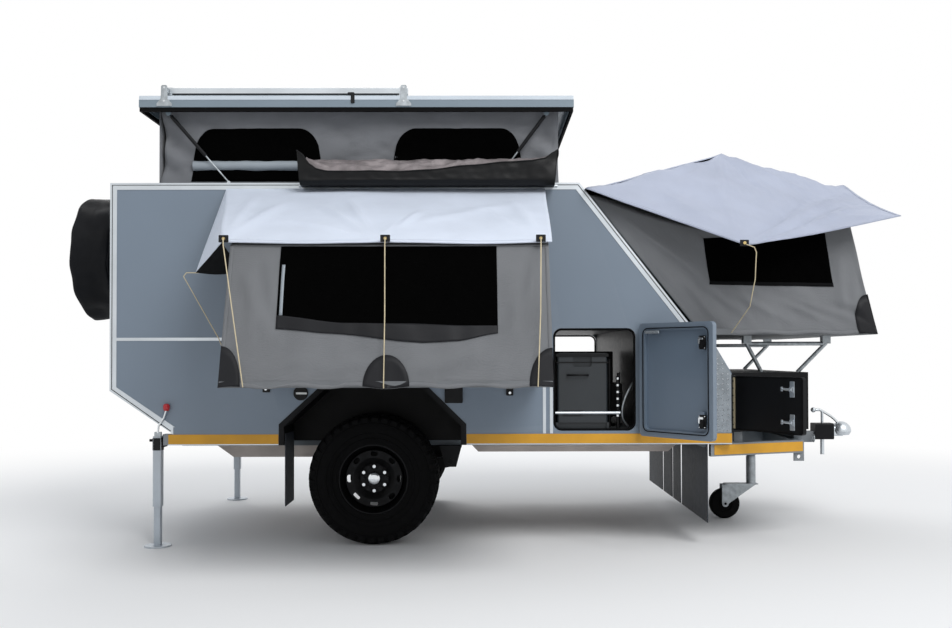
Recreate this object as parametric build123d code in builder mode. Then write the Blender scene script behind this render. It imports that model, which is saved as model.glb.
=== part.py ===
from build123d import *
from math import atan2, cos, degrees, hypot, radians, sin, tan
import os

os.makedirs("parts", exist_ok=True)

# Folding camper trailer, stood as it camps. The origin is the centre of the hitch ball,
# +X points forward to the towing car, +Y to the left and +Z up. All lengths are in millimetres.

# Heights are measured from the ground, and lengths along the body from its nose, going back.
hitch_height = 595.0
drawbar_length = 1006.0
body_length = 3653.0
body_width = 1950.0
eaves_height = 2137.0
sill_height = 661.0
lip_height = 916.0
shoulder_height = 1200.0
nose_height = 1010.0
ledge_height = 1212.0
tail_run = 374.0
top_corner_run = 895.0
ledge_run = 176.0
shoulder_run = 113.0
panel = 30.0
floor_thickness = 15.0
sheet = 3.0
seam = 0.3
swing_gap = 5.0

rail_height = 65.0
rail_width = 50.0
main_rail_spacing = 1180.0
main_rail_height = 100.0

axle_run = 2114.0
tyre_radius = 387.0
tyre_width = 245.0
track = 1655.0
rim_radius = 215.0
rim_bead = 203.0

pod_front_run = 1133.0
pod_rear_run = 2716.0
pod_sill_height = 969.0
pod_top_height = 2090.0
bed_thickness = 30.0

hatch_front_run = 566.0
hatch_rear_run = 1052.0
hatch_top_height = 1279.0
hatch_corner = 50.0

arch_front_run = 1591.0
arch_rear_run = 2634.0
arch_crown_front_run = 1817.0
arch_crown_rear_run = 2393.0
arch_crown_height = 927.0
arch_shoulder_height = 706.0
arch_depth = 315.0
arch_flange = 28.0

door_front_run = 2720.0
door_rear_run = 3330.0
door_sill_height = 790.0
door_top_height = 2050.0

roof_front_run = 925.0
roof_rear_run = 3488.0
roof_rise = 448.0
roof_depth = 68.0

# Body panels, rims and trims.
skirt_rear_run = 3398.0
skirt_front_run = 1001.0
skirt_half = 895.0
rim_depth = 70.0
rim_width = 55.0
gutter_depth = 40.0
trim_width = 40.0
trim_thickness = 2.5
joint_rail_height = 1218.0
joint_rail_width = 18.0
post_front_run = 1054.0
post_rear_run = 1113.0
post_height = 953.0
liner = 12.0

# Chassis, drawbar, coupling, its box and the bed support.
chassis_rear_run = 3338.0
rear_member_run = 3249.0
front_member_run = 159.0
mid_member_run = 1340.0
flap_bar = 20.0
drawbar_start_run = 124.0
drawbar_rear_half = 965.0
drawbar_front_half = 725.0
drawbar_front_gap = 500.0
drawbar_rail_height = 75.0
drawbar_tube_width = 60.0
coupling_block_length = 130.0
coupling_block_width = 100.0
coupling_block_height = 110.0
coupling_block_gap = 66.0
coupling_head_radius = 66.0
ball_radius = 25.0
ball_clearance = 0.5
shackle_hole = 12.0
shackle_plate = 12.0
shackle_plate_length = 62.0
shackle_drop = 52.0
box_height = 354.0
box_gap = 62.0
box_rear_half = 870.0
box_front_half = 662.0
box_front_gap = 450.0
box_frame = 34.0
box_clearance = 26.0
jockey_gap = 625.0
jockey_post = 26.0
jockey_socket = 32.0
jockey_socket_depth = 92.0
lever_height = 145.0
lever_pin = 9.0
lever_reach = 60.0
pin_drop = 160.0
support_tube = 12.5
support_half = 610.0
support_top_height = 1190.0
support_rear_gap = 818.0
support_front_gap = 323.0
support_rear_foot_gap = 726.0
support_front_foot_gap = 500.0
bed_under_height = 1240.0
pad_size = 50.0

# Suspension and wheels.
arm_pivot_run = 1664.0
arm_pivot_height = 466.0
arm_width = 60.0
arm_y = 640.0
arm_eye = 34.0
arm_bracket = 8.0
stub_radius = 32.0
spindle_radius = 22.0
spindle_clearance = 0.3
drum_radius = 150.0
drum_depth = 62.0
drum_inner_y = 752.0
backplate = 5.0
hub_face_y = 842.0
hub_radius = 78.0
cap_radius = 38.0
cap_height = 46.0
disc_thickness = 8.0
disc_inset = 40.0
rim_well_depth = 28.0
stud_circle = 139.7
stud_count = 6
stud_radius = 7.0
nut_radius = 13.0
nut_height = 18.0
slot_count = 8
slot_circle = 148.0
slot_radius = 15.0
slot_margin = 4.0
spring_radius = 48.0
spring_wire = 7.0
spring_turns = 4.5
spring_run = 2030.0

# Jockey wheel, rear legs, flaps, trays and spare wheel.
jockey_trail = 185.0
jockey_radius = 102.0
jockey_width = 62.0
jockey_crown_height = 232.0
fork_plate = 6.0
fork_depth = 44.0
jockey_axle = 8.0
leg_run = 3382.0
leg_y = 930.0
leg_tube = 50.0
leg_inner_tube = 40.0
leg_joint_height = 235.0
leg_pivot_height = 622.0
leg_pin = 8.0
foot_radius = 78.0
foot_thickness = 8.0
leg_plate = 8.0
mud_flap_bottom_height = 235.0
mud_flap_width = 250.0
flap_thickness = 6.0
stone_flap_bottom_height = 135.0
tray_half = 540.0
spare_y = -350.0
spare_height = 1750.0
spare_gap = 100.0
spare_width = 245.0
spare_radius = 395.0
bracket_plate = 10.0

# Pop-top roof, its rails, vent and gas struts.
roof_bevel = 24.0
roof_skin = 30.0
roof_lip_width = 25.0
seal_height = 25.0
seal_width = 18.0
strut_y = 915.0
strut_radius = 11.0
rod_radius = 4.5
strut_eye = 10.0
strut_eye_thickness = 10.0
strut_pin = 4.0
strut_plate = 5.0
strut_plate_gap = 10.0
strut_start = 20.0
strut_end_gap = 25.0
pivot_drop = 25.0
anchor_rise = 10.0
rack_rear_run = 3358.0
rack_front_run = 1909.0
rack_y = 905.0
rack_height = 45.0
rack_width = 40.0
rack_lift = 17.0
rack_foot = 62.0
hatch_lid_run = 1180.0
hatch_lid = 520.0
hatch_lid_height = 26.0
skirt_cloth = 4.0

# Fold-out beds, tents and flies.
hinge_rod = 5.7
hinge_gap = 6.0
hinge_leaf = 40.0
bed_leaf = 10.0
mattress_thickness = 100.0
mattress_inset = 60.0
mattress_lip = 50.0
front_bed_gap = 151.0
front_bed_thickness = 35.0
front_bed_inset = 30.0
cloth = 3.0
cloth_gap = 3.0
tent_top_height = 1660.0
tent_top_reach = 950.0
fly_gap = 14.0
fly_side = 250.0
fly_edge_drop = 32.0
front_tent_top_gap = 280.0
front_tent_top_height = 1790.0
front_tent_peak_gap = 850.0
front_tent_head_drop = 185.0
front_tent_peak_height = 2325.0
front_fly_peak_height = 2520.0
front_fly_half = 1030.0
fly_middle_reach = 45.0
fly_middle_height = 2289.0
fly_corner_gap = 20.0
fly_corner_height = 1933.0
fly_grommet_gap = 992.0
fly_grommet_half = 1250.0
fly_grommet_height = 1736.0
fly_cloth = 4.0
flap_gap = 3014.0
flap_reach = 475.0
flap_height = 1585.0
peak_size = 60.0

# Doors, hinges, kitchen, wall fittings and awning bag.
hatch_lap = 24.0
hatch_seal = 8.0
hatch_door_thickness = 30.0
hatch_hinge_gap = 7.0
leaf_thickness = 2.5
hatch_swing = 127.6
hatch_frame = 42.0
hatch_pocket = 20.0
latch_width = 34.0
latch_height = 64.0
latch_depth = 26.0
nose_door_thickness = 24.0
nose_door_swing = 81.0
nose_hinge_gap = 7.0
nose_door_pocket = 14.0
door_seal = 8.0
entrance_lap = 22.0
entrance_thickness = 34.0
fridge_width = 300.0
fridge_height = 410.0
fridge_depth = 620.0
fridge_lift = 46.0
slide_bar = 14.0
handle_width = 110.0
handle_height = 70.0
cap_run = 2532.0
filler_height = 900.0
filler_radius = 42.0
vent_run = 1636.0
vent_width = 106.0
vent_height = 115.0
vent_mid_height = 898.0
bed_latch = 42.0
bag_front_run = 1024.0
bag_rear_run = 2544.0
bag_bottom_height = 2116.0
bag_hem = 18.0
bag_height = 150.0
bag_depth = 120.0
bag_cloth = 4.0
bag_tip = 47.0
bag_tip_run = 130.0

# The runs above are for a body of this length, and keep their share of it when it changes.
basis_length = 3653.0


def station(run):
    """Place along the trailer of a run back from the nose."""
    return -drawbar_length - run * body_length / basis_length


# Names for the planes and levels that these sizes give.
ground = -hitch_height
half = body_width / 2
inner = half - panel
nose_x = -drawbar_length
rear_x = nose_x - body_length
eaves_z = ground + eaves_height
sill_z = ground + sill_height
lip_z = ground + lip_height
shoulder_z = ground + shoulder_height
nose_z = ground + nose_height
ledge_z = ground + ledge_height
tail_x = rear_x + tail_run * body_length / basis_length
corner_x = station(top_corner_run)
ledge_x = station(ledge_run)
shoulder_x = station(shoulder_run)
rail_z = sill_z - rail_height
axle_x = station(axle_run)
axle_z = ground + tyre_radius
wheel_y = track / 2
pod_front = station(pod_front_run)
pod_rear = station(pod_rear_run)
pod_sill = ground + pod_sill_height
pod_top = ground + pod_top_height
hatch_front = station(hatch_front_run)
hatch_rear = station(hatch_rear_run)
hatch_sill = sill_z + floor_thickness
hatch_top = ground + hatch_top_height
arch_front = station(arch_front_run)
arch_rear = station(arch_rear_run)
arch_crown_front = station(arch_crown_front_run)
arch_crown_rear = station(arch_crown_rear_run)
arch_crown = ground + arch_crown_height
arch_shoulder = ground + arch_shoulder_height
door_front = station(door_front_run)
door_rear = station(door_rear_run)
door_sill = ground + door_sill_height
door_top = ground + door_top_height
roof_front = station(roof_front_run)
roof_rear = station(roof_rear_run)
roof_lip = eaves_z + roof_rise
roof_top = roof_lip + roof_depth

# Right is the near side, -Y, and left the far side, +Y.
sides = (("right", -1), ("left", 1))

body_outline = [
    (rear_x, lip_z), (rear_x, eaves_z), (corner_x, eaves_z), (ledge_x, ledge_z),
    (shoulder_x, shoulder_z), (nose_x, nose_z), (nose_x, sill_z), (tail_x, sill_z),
]
arch_outline = [
    (arch_rear, rail_z), (arch_rear, arch_shoulder), (arch_crown_rear, arch_crown),
    (arch_crown_front, arch_crown), (arch_front, arch_shoulder), (arch_front, rail_z),
]


def upright(y):
    """Plane that stands along the trailer at a given y, with its normal toward -Y."""
    return Plane.XZ.offset(-y)


def across(x):
    """Plane that stands across the trailer at a given x, with its normal forward."""
    return Plane.YZ.offset(x)


def level(z):
    """Level plane at a given height over the hitch ball."""
    return Plane.XY.offset(z)


# Body panels.

arch_back = half - arch_depth
skirt_rear = station(skirt_rear_run)
skirt_front = station(skirt_front_run)
rim_z = eaves_z - rim_depth
joint_rail_z = ground + joint_rail_height
slope_run = (corner_x - ledge_x) / (eaves_z - ledge_z)


# Openings as front end, rear end, lower edge, upper edge and corner radius.
hatch_opening = (hatch_front, hatch_rear, hatch_sill, hatch_top, hatch_corner)
wall_openings = {
    "right": (hatch_opening, (pod_front, pod_rear, pod_sill, pod_top, sheet)),
    "left": (hatch_opening, (door_front, door_rear, door_sill, door_top, hatch_corner)),
}

for side, s in sides:
    with BuildPart() as side_wall:
        with BuildSketch(upright(s * inner)):
            Polygon(*body_outline, align=None)
        extrude(amount=-s * panel)
        with BuildSketch(upright(s * inner)):
            Polygon(*arch_outline, align=None)
            for front, rear, low, high, corner in wall_openings[side]:
                with Locations(((front + rear) / 2, (low + high) / 2)):
                    RectangleRounded(front - rear, high - low, corner)
        extrude(amount=-s * panel, mode=Mode.SUBTRACT)
    side_wall.part.label = f"side_wall_{side}"
    export_step(side_wall.part, f"parts/side_wall_{side}.step")

with BuildPart() as rear_wall:
    with BuildSketch(upright(inner)):
        Polygon(*body_outline, align=None)
        offset(amount=-panel, kind=Kind.INTERSECTION, mode=Mode.SUBTRACT)
        with Locations(((tail_x + nose_x) / 2, 0)):
            Rectangle(nose_x - tail_x, 2 * body_width, mode=Mode.SUBTRACT)
        with Locations((tail_x, eaves_z - panel / 2)):
            Rectangle(2 * (tail_x - rear_x - panel), panel, mode=Mode.SUBTRACT)
    extrude(amount=2 * inner)
rear_wall.part.label = "rear_wall"
export_step(rear_wall.part, "parts/rear_wall.step")

with BuildPart() as nose_panel:
    with BuildSketch(upright(inner)):
        Polygon(*body_outline, align=None)
        offset(amount=-panel, kind=Kind.INTERSECTION, mode=Mode.SUBTRACT)
        with Locations((ledge_x - body_length / 2, 0)):
            Rectangle(body_length, 2 * body_width, mode=Mode.SUBTRACT)
        with Locations((ledge_x, sill_z + panel / 2)):
            Rectangle(2 * (nose_x - ledge_x - panel), panel, mode=Mode.SUBTRACT)
    extrude(amount=2 * inner)
nose_panel.part.label = "nose_panel"
export_step(nose_panel.part, "parts/nose_panel.step")

floor_front = nose_x - panel
with BuildPart() as floor_panel:
    with BuildSketch(level(sill_z)):
        with Locations(((tail_x + floor_front) / 2, 0)):
            Rectangle(floor_front - tail_x, 2 * inner)
        with Locations(((arch_front + arch_rear) / 2, 0)):
            with Locations((0, inner), (0, -inner)):
                Rectangle(arch_front - arch_rear, 2 * (inner - arch_back), mode=Mode.SUBTRACT)
    extrude(amount=floor_thickness)
floor_panel.part.label = "floor_panel"
export_step(floor_panel.part, "parts/floor_panel.step")

rim_rear = rear_x + panel
with BuildPart() as roof_rim:
    with BuildSketch(level(rim_z)):
        with Locations(((rim_rear + corner_x) / 2, 0)):
            Rectangle(corner_x - rim_rear, 2 * inner)
        with Locations(((skirt_rear + skirt_front) / 2, 0)):
            Rectangle(skirt_front - skirt_rear - 2 * rim_width, 2 * (skirt_half - rim_width),
                      mode=Mode.SUBTRACT)
    extrude(amount=rim_depth)
    with BuildSketch(upright(inner)):
        Polygon((corner_x, rim_z), (corner_x, eaves_z), (corner_x - slope_run * rim_depth, rim_z),
                align=None)
    extrude(amount=2 * inner)
    with BuildSketch(level(eaves_z)):
        with Locations(((roof_rear + roof_front) / 2, (inner + skirt_half) / 2),
                       ((roof_rear + roof_front) / 2, -(inner + skirt_half) / 2)):
            Rectangle(roof_front - roof_rear, inner - skirt_half)
    extrude(amount=-gutter_depth, mode=Mode.SUBTRACT)
roof_rim.part.label = "roof_rim"
export_step(roof_rim.part, "parts/roof_rim.step")

# Aluminium angle along the tail, the rear edge, the eaves and the slope, with its joint rails.
rail_front = {"right": pod_rear - trim_width, "left": door_rear - trim_width}
rail_rear = rear_x + trim_width
with BuildPart() as edge_trims:
    for side, s in sides:
        with BuildSketch(upright(s * half)):
            Polygon(*body_outline, align=None)
            offset(amount=-trim_width, kind=Kind.INTERSECTION, mode=Mode.SUBTRACT)
            with Locations(((tail_x + nose_x) / 2, sill_z)):
                Rectangle(nose_x - tail_x, 2 * trim_width + trim_thickness, mode=Mode.SUBTRACT)
            with Locations((nose_x, sill_z)):
                Rectangle(2 * (nose_x - shoulder_x), 2 * (ledge_z - sill_z), mode=Mode.SUBTRACT)
            with Locations(((rail_rear + rail_front[side]) / 2, joint_rail_z)):
                Rectangle(rail_front[side] - rail_rear, joint_rail_width)
            with Locations((station(post_front_run) - joint_rail_width / 2, (sill_z + ground + post_height) / 2),
                           (station(post_rear_run) + joint_rail_width / 2, (sill_z + ground + post_height) / 2)):
                Rectangle(joint_rail_width, post_height - sill_height)
        extrude(amount=-s * trim_thickness)
edge_trims.part.label = "edge_trims"
export_step(edge_trims.part, "parts/edge_trims.step")

for side, s in sides:
    with BuildPart() as wheel_arch:
        with BuildSketch(upright(s * arch_back)):
            Polygon(*arch_outline, align=None)
        extrude(amount=-s * arch_depth)
        with BuildSketch(upright(s * half)):
            Polygon(*arch_outline, align=None)
            offset(amount=arch_flange, kind=Kind.INTERSECTION)
        extrude(amount=-s * sheet)
        with BuildSketch(upright(s * (arch_back + sheet))):
            Polygon(*arch_outline, align=None)
            offset(amount=-sheet, kind=Kind.INTERSECTION, mode=Mode.REPLACE)
            with Locations(((arch_front + arch_rear) / 2, rail_z)):
                Rectangle(arch_front - arch_rear - 2 * sheet, 2 * (arch_shoulder - rail_z))
        extrude(amount=-s * arch_depth, mode=Mode.SUBTRACT)
        split(bisect_by=level(rail_z), keep=Keep.TOP)
    wheel_arch.part.label = f"wheel_arch_{side}"
    export_step(wheel_arch.part, f"parts/wheel_arch_{side}.step")

with BuildPart() as kitchen_liner:
    with BuildSketch(upright(inner)):
        with Locations(((hatch_front + hatch_rear) / 2, (hatch_sill + hatch_top + liner) / 2)):
            Rectangle(hatch_front - hatch_rear + 2 * liner, hatch_top - hatch_sill + liner)
            Rectangle(hatch_front - hatch_rear, hatch_top - hatch_sill - liner, mode=Mode.SUBTRACT)
        with Locations(((hatch_front + hatch_rear) / 2, hatch_sill)):
            Rectangle(hatch_front - hatch_rear, 2 * liner, mode=Mode.SUBTRACT)
    extrude(amount=2 * inner)
kitchen_liner.part.label = "kitchen_liner"
export_step(kitchen_liner.part, "parts/kitchen_liner.step")

# Chassis, drawbar and coupling.

chassis_rear = station(chassis_rear_run)
main_y = main_rail_spacing / 2
sill_y = half - rail_width / 2
drawbar_z = rail_z - drawbar_rail_height
drawbar_front = -drawbar_front_gap
jockey_x = -jockey_gap
socket_z = drawbar_z - jockey_socket_depth
drawbar_start = station(drawbar_start_run)
box_rear = nose_x + box_clearance
box_front = -box_front_gap
box_z = rail_z + box_gap
box_top = box_z + box_height
front_member_x = station(front_member_run)
main_length = front_member_x - chassis_rear
main_x = chassis_rear + main_length / 2
member_xs = [station(run) for run in (rear_member_run, mid_member_run, front_member_run)]
member_xs += [arch_rear - rail_width / 2 - sheet, arch_front + rail_width / 2 + sheet]

with BuildPart() as chassis_frame:
    with BuildSketch(level(sill_z)):
        with Locations(((chassis_rear + arch_rear) / 2, sill_y), ((chassis_rear + arch_rear) / 2, -sill_y)):
            Rectangle(arch_rear - chassis_rear, rail_width)
        with Locations(((arch_front + nose_x) / 2, sill_y), ((arch_front + nose_x) / 2, -sill_y)):
            Rectangle(nose_x - arch_front, rail_width)
        with Locations(*[(x, 0) for x in member_xs]):
            Rectangle(rail_width, 2 * sill_y)
    extrude(amount=-rail_height)
    with BuildSketch(level(sill_z)):
        with Locations((main_x, main_y), (main_x, -main_y)):
            Rectangle(main_length, rail_width)
    extrude(amount=-main_rail_height)
    with BuildSketch(level(rail_z)):
        with Locations((front_member_x, 0)):
            Rectangle(flap_bar, 2 * sill_y)
    extrude(amount=-flap_bar)
chassis_frame.part.label = "chassis_frame"
export_step(chassis_frame.part, "parts/chassis_frame.step")

# The drawbar's rails close in under the nose and end in drop plates for a shackle.
rail_lean = atan2(drawbar_rear_half - drawbar_front_half, drawbar_front - drawbar_start)
rail_skew = rail_width / cos(rail_lean)
bearers = ((box_rear + rail_width, box_rear_half - rail_width), (box_front - rail_width, box_front_half - rail_width))
with BuildPart() as drawbar:
    with BuildSketch(level(drawbar_z)):
        for side, s in sides:
            Polygon((drawbar_start, s * drawbar_rear_half), (drawbar_front, s * drawbar_front_half),
                    (drawbar_front, s * (drawbar_front_half - rail_skew)),
                    (drawbar_start, s * (drawbar_rear_half - rail_skew)), align=None)
        with Locations((drawbar_front - rail_width / 2, 0)):
            Rectangle(rail_width, 2 * drawbar_front_half - rail_width)
        with Locations(((drawbar_start - coupling_block_gap - coupling_block_length) / 2, 0)):
            Rectangle(-coupling_block_gap - coupling_block_length - drawbar_start, drawbar_tube_width)
    extrude(amount=drawbar_rail_height)
    with BuildSketch(level(rail_z)):
        for bearer_x, bearer_half in bearers:
            with Locations((bearer_x, 0)):
                Rectangle(rail_width, 2 * bearer_half)
    extrude(amount=box_gap)
    for side, s in sides:
        with BuildSketch(upright(s * (drawbar_front_half - shackle_plate))):
            with Locations((drawbar_front - shackle_plate_length / 2, drawbar_z - shackle_drop / 2)):
                Rectangle(shackle_plate_length, shackle_drop)
                Circle(shackle_hole, mode=Mode.SUBTRACT)
        extrude(amount=-s * shackle_plate)
    with BuildSketch(level(drawbar_z)):
        with Locations((jockey_x, 0)):
            RectangleRounded(3 * jockey_socket, 2.6 * jockey_socket, jockey_socket / 4)
    extrude(amount=-shackle_plate)
    with BuildSketch(level(drawbar_z)):
        with Locations((jockey_x, 0)):
            Circle(jockey_socket)
    extrude(amount=-jockey_socket_depth)
    with BuildSketch(level(socket_z)):
        with Locations((jockey_x, 0)):
            Circle(jockey_post + seam)
    extrude(amount=jockey_socket_depth - shackle_plate, mode=Mode.SUBTRACT)
drawbar.part.label = "drawbar"
export_step(drawbar.part, "parts/drawbar.step")

block_x = -coupling_block_gap - coupling_block_length / 2
with BuildPart() as coupling_block:
    with Locations((block_x, 0, 0)):
        Box(coupling_block_length, coupling_block_width, coupling_block_height)
    fillet(coupling_block.edges().filter_by(Axis.X), radius=coupling_block_width / 8)
coupling_block.part.label = "coupling_block"
export_step(coupling_block.part, "parts/coupling_block.step")

# The coupling's head is a cast dome over the ball, open below, with its neck in the block's face.
with BuildPart() as coupling_head:
    with BuildSketch(Plane.XZ):
        with BuildLine():
            Polyline((0, coupling_head_radius), (0, -ball_radius), (coupling_head_radius * 0.8, -ball_radius),
                     (coupling_head_radius, 0))
            JernArc((coupling_head_radius, 0), (0, 1), coupling_head_radius, 90)
        make_face()
    revolve(axis=Axis.Z)
    with BuildSketch(across(-coupling_block_gap)):
        RectangleRounded(coupling_block_width * 0.7, coupling_block_height * 0.6, coupling_block_width / 10)
    extrude(amount=coupling_block_gap)
    Sphere(ball_radius + ball_clearance, mode=Mode.SUBTRACT)
    with BuildSketch(level(-coupling_head_radius)):
        Circle(ball_radius + ball_clearance)
    extrude(amount=coupling_head_radius, mode=Mode.SUBTRACT)
    with BuildLine() as lever_path:
        FilletPolyline((block_x, 0, coupling_block_height / 2), (block_x, 0, lever_height),
                       (block_x - lever_reach, 0, lever_height), radius=2 * lever_pin)
    with BuildSketch(Plane(origin=lever_path.line @ 0, z_dir=lever_path.line % 0)):
        Circle(lever_pin)
    sweep()
    with Locations((block_x - lever_reach, 0, lever_height)):
        Sphere(2 * lever_pin)
    with BuildSketch(level(-coupling_block_height / 2)):
        with Locations((block_x, 0)):
            Circle(lever_pin * 1.5)
    extrude(amount=coupling_block_height / 2 - pin_drop)
coupling_head.part.label = "coupling_head"
export_step(coupling_head.part, "parts/coupling_head.step")

# The box on the drawbar narrows toward the hitch and opens through both of its sides.
box_lean = atan2(box_rear_half - box_front_half, box_front - box_rear)
box_side = hypot(box_rear_half - box_front_half, box_front - box_rear)
box_plan = [(box_rear, -box_rear_half), (box_front, -box_front_half),
            (box_front, box_front_half), (box_rear, box_rear_half)]
with BuildPart() as nose_box:
    with BuildSketch(level(box_z)):
        Polygon(*box_plan, align=None)
    extrude(amount=box_height)
    with BuildSketch(level(box_z + sheet)):
        Polygon(*box_plan, align=None)
        offset(amount=-sheet, kind=Kind.INTERSECTION, mode=Mode.REPLACE)
    extrude(amount=box_height - 2 * sheet, mode=Mode.SUBTRACT)
    for side, s in sides:
        with BuildSketch(Plane(origin=(box_rear, s * box_rear_half, box_z),
                               x_dir=(cos(box_lean), -s * sin(box_lean), 0),
                               z_dir=(-sin(box_lean), -s * cos(box_lean), 0))):
            with Locations((box_side / 2, s * box_height / 2)):
                RectangleRounded(box_side - 2 * box_frame, box_height - 2 * box_frame, box_frame / 2)
        extrude(amount=2 * sheet, both=True, mode=Mode.SUBTRACT)
nose_box.part.label = "nose_box"
export_step(nose_box.part, "parts/nose_box.step")

# Bed support: V frames that stand on the box and pads that carry the folded-out bed.
support_z = ground + support_top_height
bed_under = ground + bed_under_height
with BuildPart() as bed_support:
    for side, s in sides:
        y = s * support_half
        for start, end in (((-support_rear_gap, y, support_z), (-support_front_gap, y, support_z)),
                           ((-support_rear_foot_gap, y, box_top), (-support_rear_gap, y, support_z)),
                           ((-support_front_foot_gap, y, box_top), (-support_front_gap, y, support_z))):
            run = Vector(*end) - Vector(*start)
            with BuildSketch(Plane(origin=start, z_dir=run)):
                Circle(support_tube)
            extrude(amount=run.length)
        with Locations((-support_rear_gap, y, support_z), (-support_front_gap, y, support_z)):
            Sphere(support_tube)
        with BuildSketch(level(support_z)):
            with Locations((-support_rear_gap, y), (-support_front_gap, y)):
                Rectangle(pad_size, pad_size)
        extrude(amount=bed_under - seam - support_z)
    split(bisect_by=level(box_top), keep=Keep.TOP)
bed_support.part.label = "bed_support"
export_step(bed_support.part, "parts/bed_support.step")

# Suspension, wheels and stands.

arm_pivot_x = station(arm_pivot_run)
arm_pivot_z = ground + arm_pivot_height
main_rail_z = sill_z - main_rail_height
spring_x = station(spring_run)
arm_slope = (arm_pivot_z - axle_z) / (arm_pivot_x - axle_x)
arm_top_z = axle_z + arm_eye + arm_slope * (spring_x + spring_radius - axle_x)

for side, s in sides:
    with BuildPart() as suspension_arm:
        with BuildSketch(upright(s * (arm_y - arm_width / 2))):
            with BuildLine():
                Polyline((axle_x, axle_z + arm_eye), (arm_pivot_x, arm_pivot_z + arm_eye),
                         (arm_pivot_x, arm_pivot_z - arm_eye), (axle_x, axle_z - arm_eye), close=True)
            make_face()
            with Locations((axle_x, axle_z), (arm_pivot_x, arm_pivot_z)):
                Circle(arm_eye)
        extrude(amount=-s * arm_width)
        with BuildSketch(upright(s * (arm_y - arm_width / 2 - arm_bracket - seam))):
            with Locations((arm_pivot_x, arm_pivot_z)):
                Circle(arm_eye / 2)
        extrude(amount=-s * (arm_width + 2 * arm_bracket + 2 * seam))
        with BuildSketch(upright(s * arm_y)):
            with Locations((axle_x, axle_z)):
                Circle(stub_radius)
        extrude(amount=-s * (drum_inner_y - seam - arm_y))
        with BuildSketch(upright(s * (drum_inner_y - seam - backplate))):
            with Locations((axle_x, axle_z)):
                Circle(drum_radius)
        extrude(amount=-s * backplate)
        with BuildSketch(upright(s * arm_y)):
            with Locations((axle_x, axle_z)):
                Circle(spindle_radius)
        extrude(amount=-s * (hub_face_y - arm_y))
        with BuildSketch(level(arm_top_z)):
            with Locations((spring_x, s * arm_y)):
                Circle(spring_radius)
        extrude(amount=-arm_eye)
    suspension_arm.part.label = f"suspension_arm_{side}"
    export_step(suspension_arm.part, f"parts/suspension_arm_{side}.step")

spring_height = main_rail_z - arm_bracket - arm_top_z - 4 * spring_wire
with BuildPart() as coil_springs:
    for side, s in sides:
        with BuildLine(Plane(origin=(spring_x, s * arm_y, arm_top_z + 2 * spring_wire))):
            coil = Helix(spring_height / spring_turns, spring_height, spring_radius - 2 * spring_wire)
        with BuildSketch(Plane(origin=coil @ 0, z_dir=coil % 0)):
            Circle(spring_wire)
        sweep()
        with Locations((spring_x, s * arm_y, arm_top_z + spring_wire),
                       (spring_x, s * arm_y, main_rail_z - arm_bracket - spring_wire)):
            Cylinder(spring_radius, 2 * spring_wire)
coil_springs.part.label = "coil_springs"
export_step(coil_springs.part, "parts/coil_springs.step")

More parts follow.
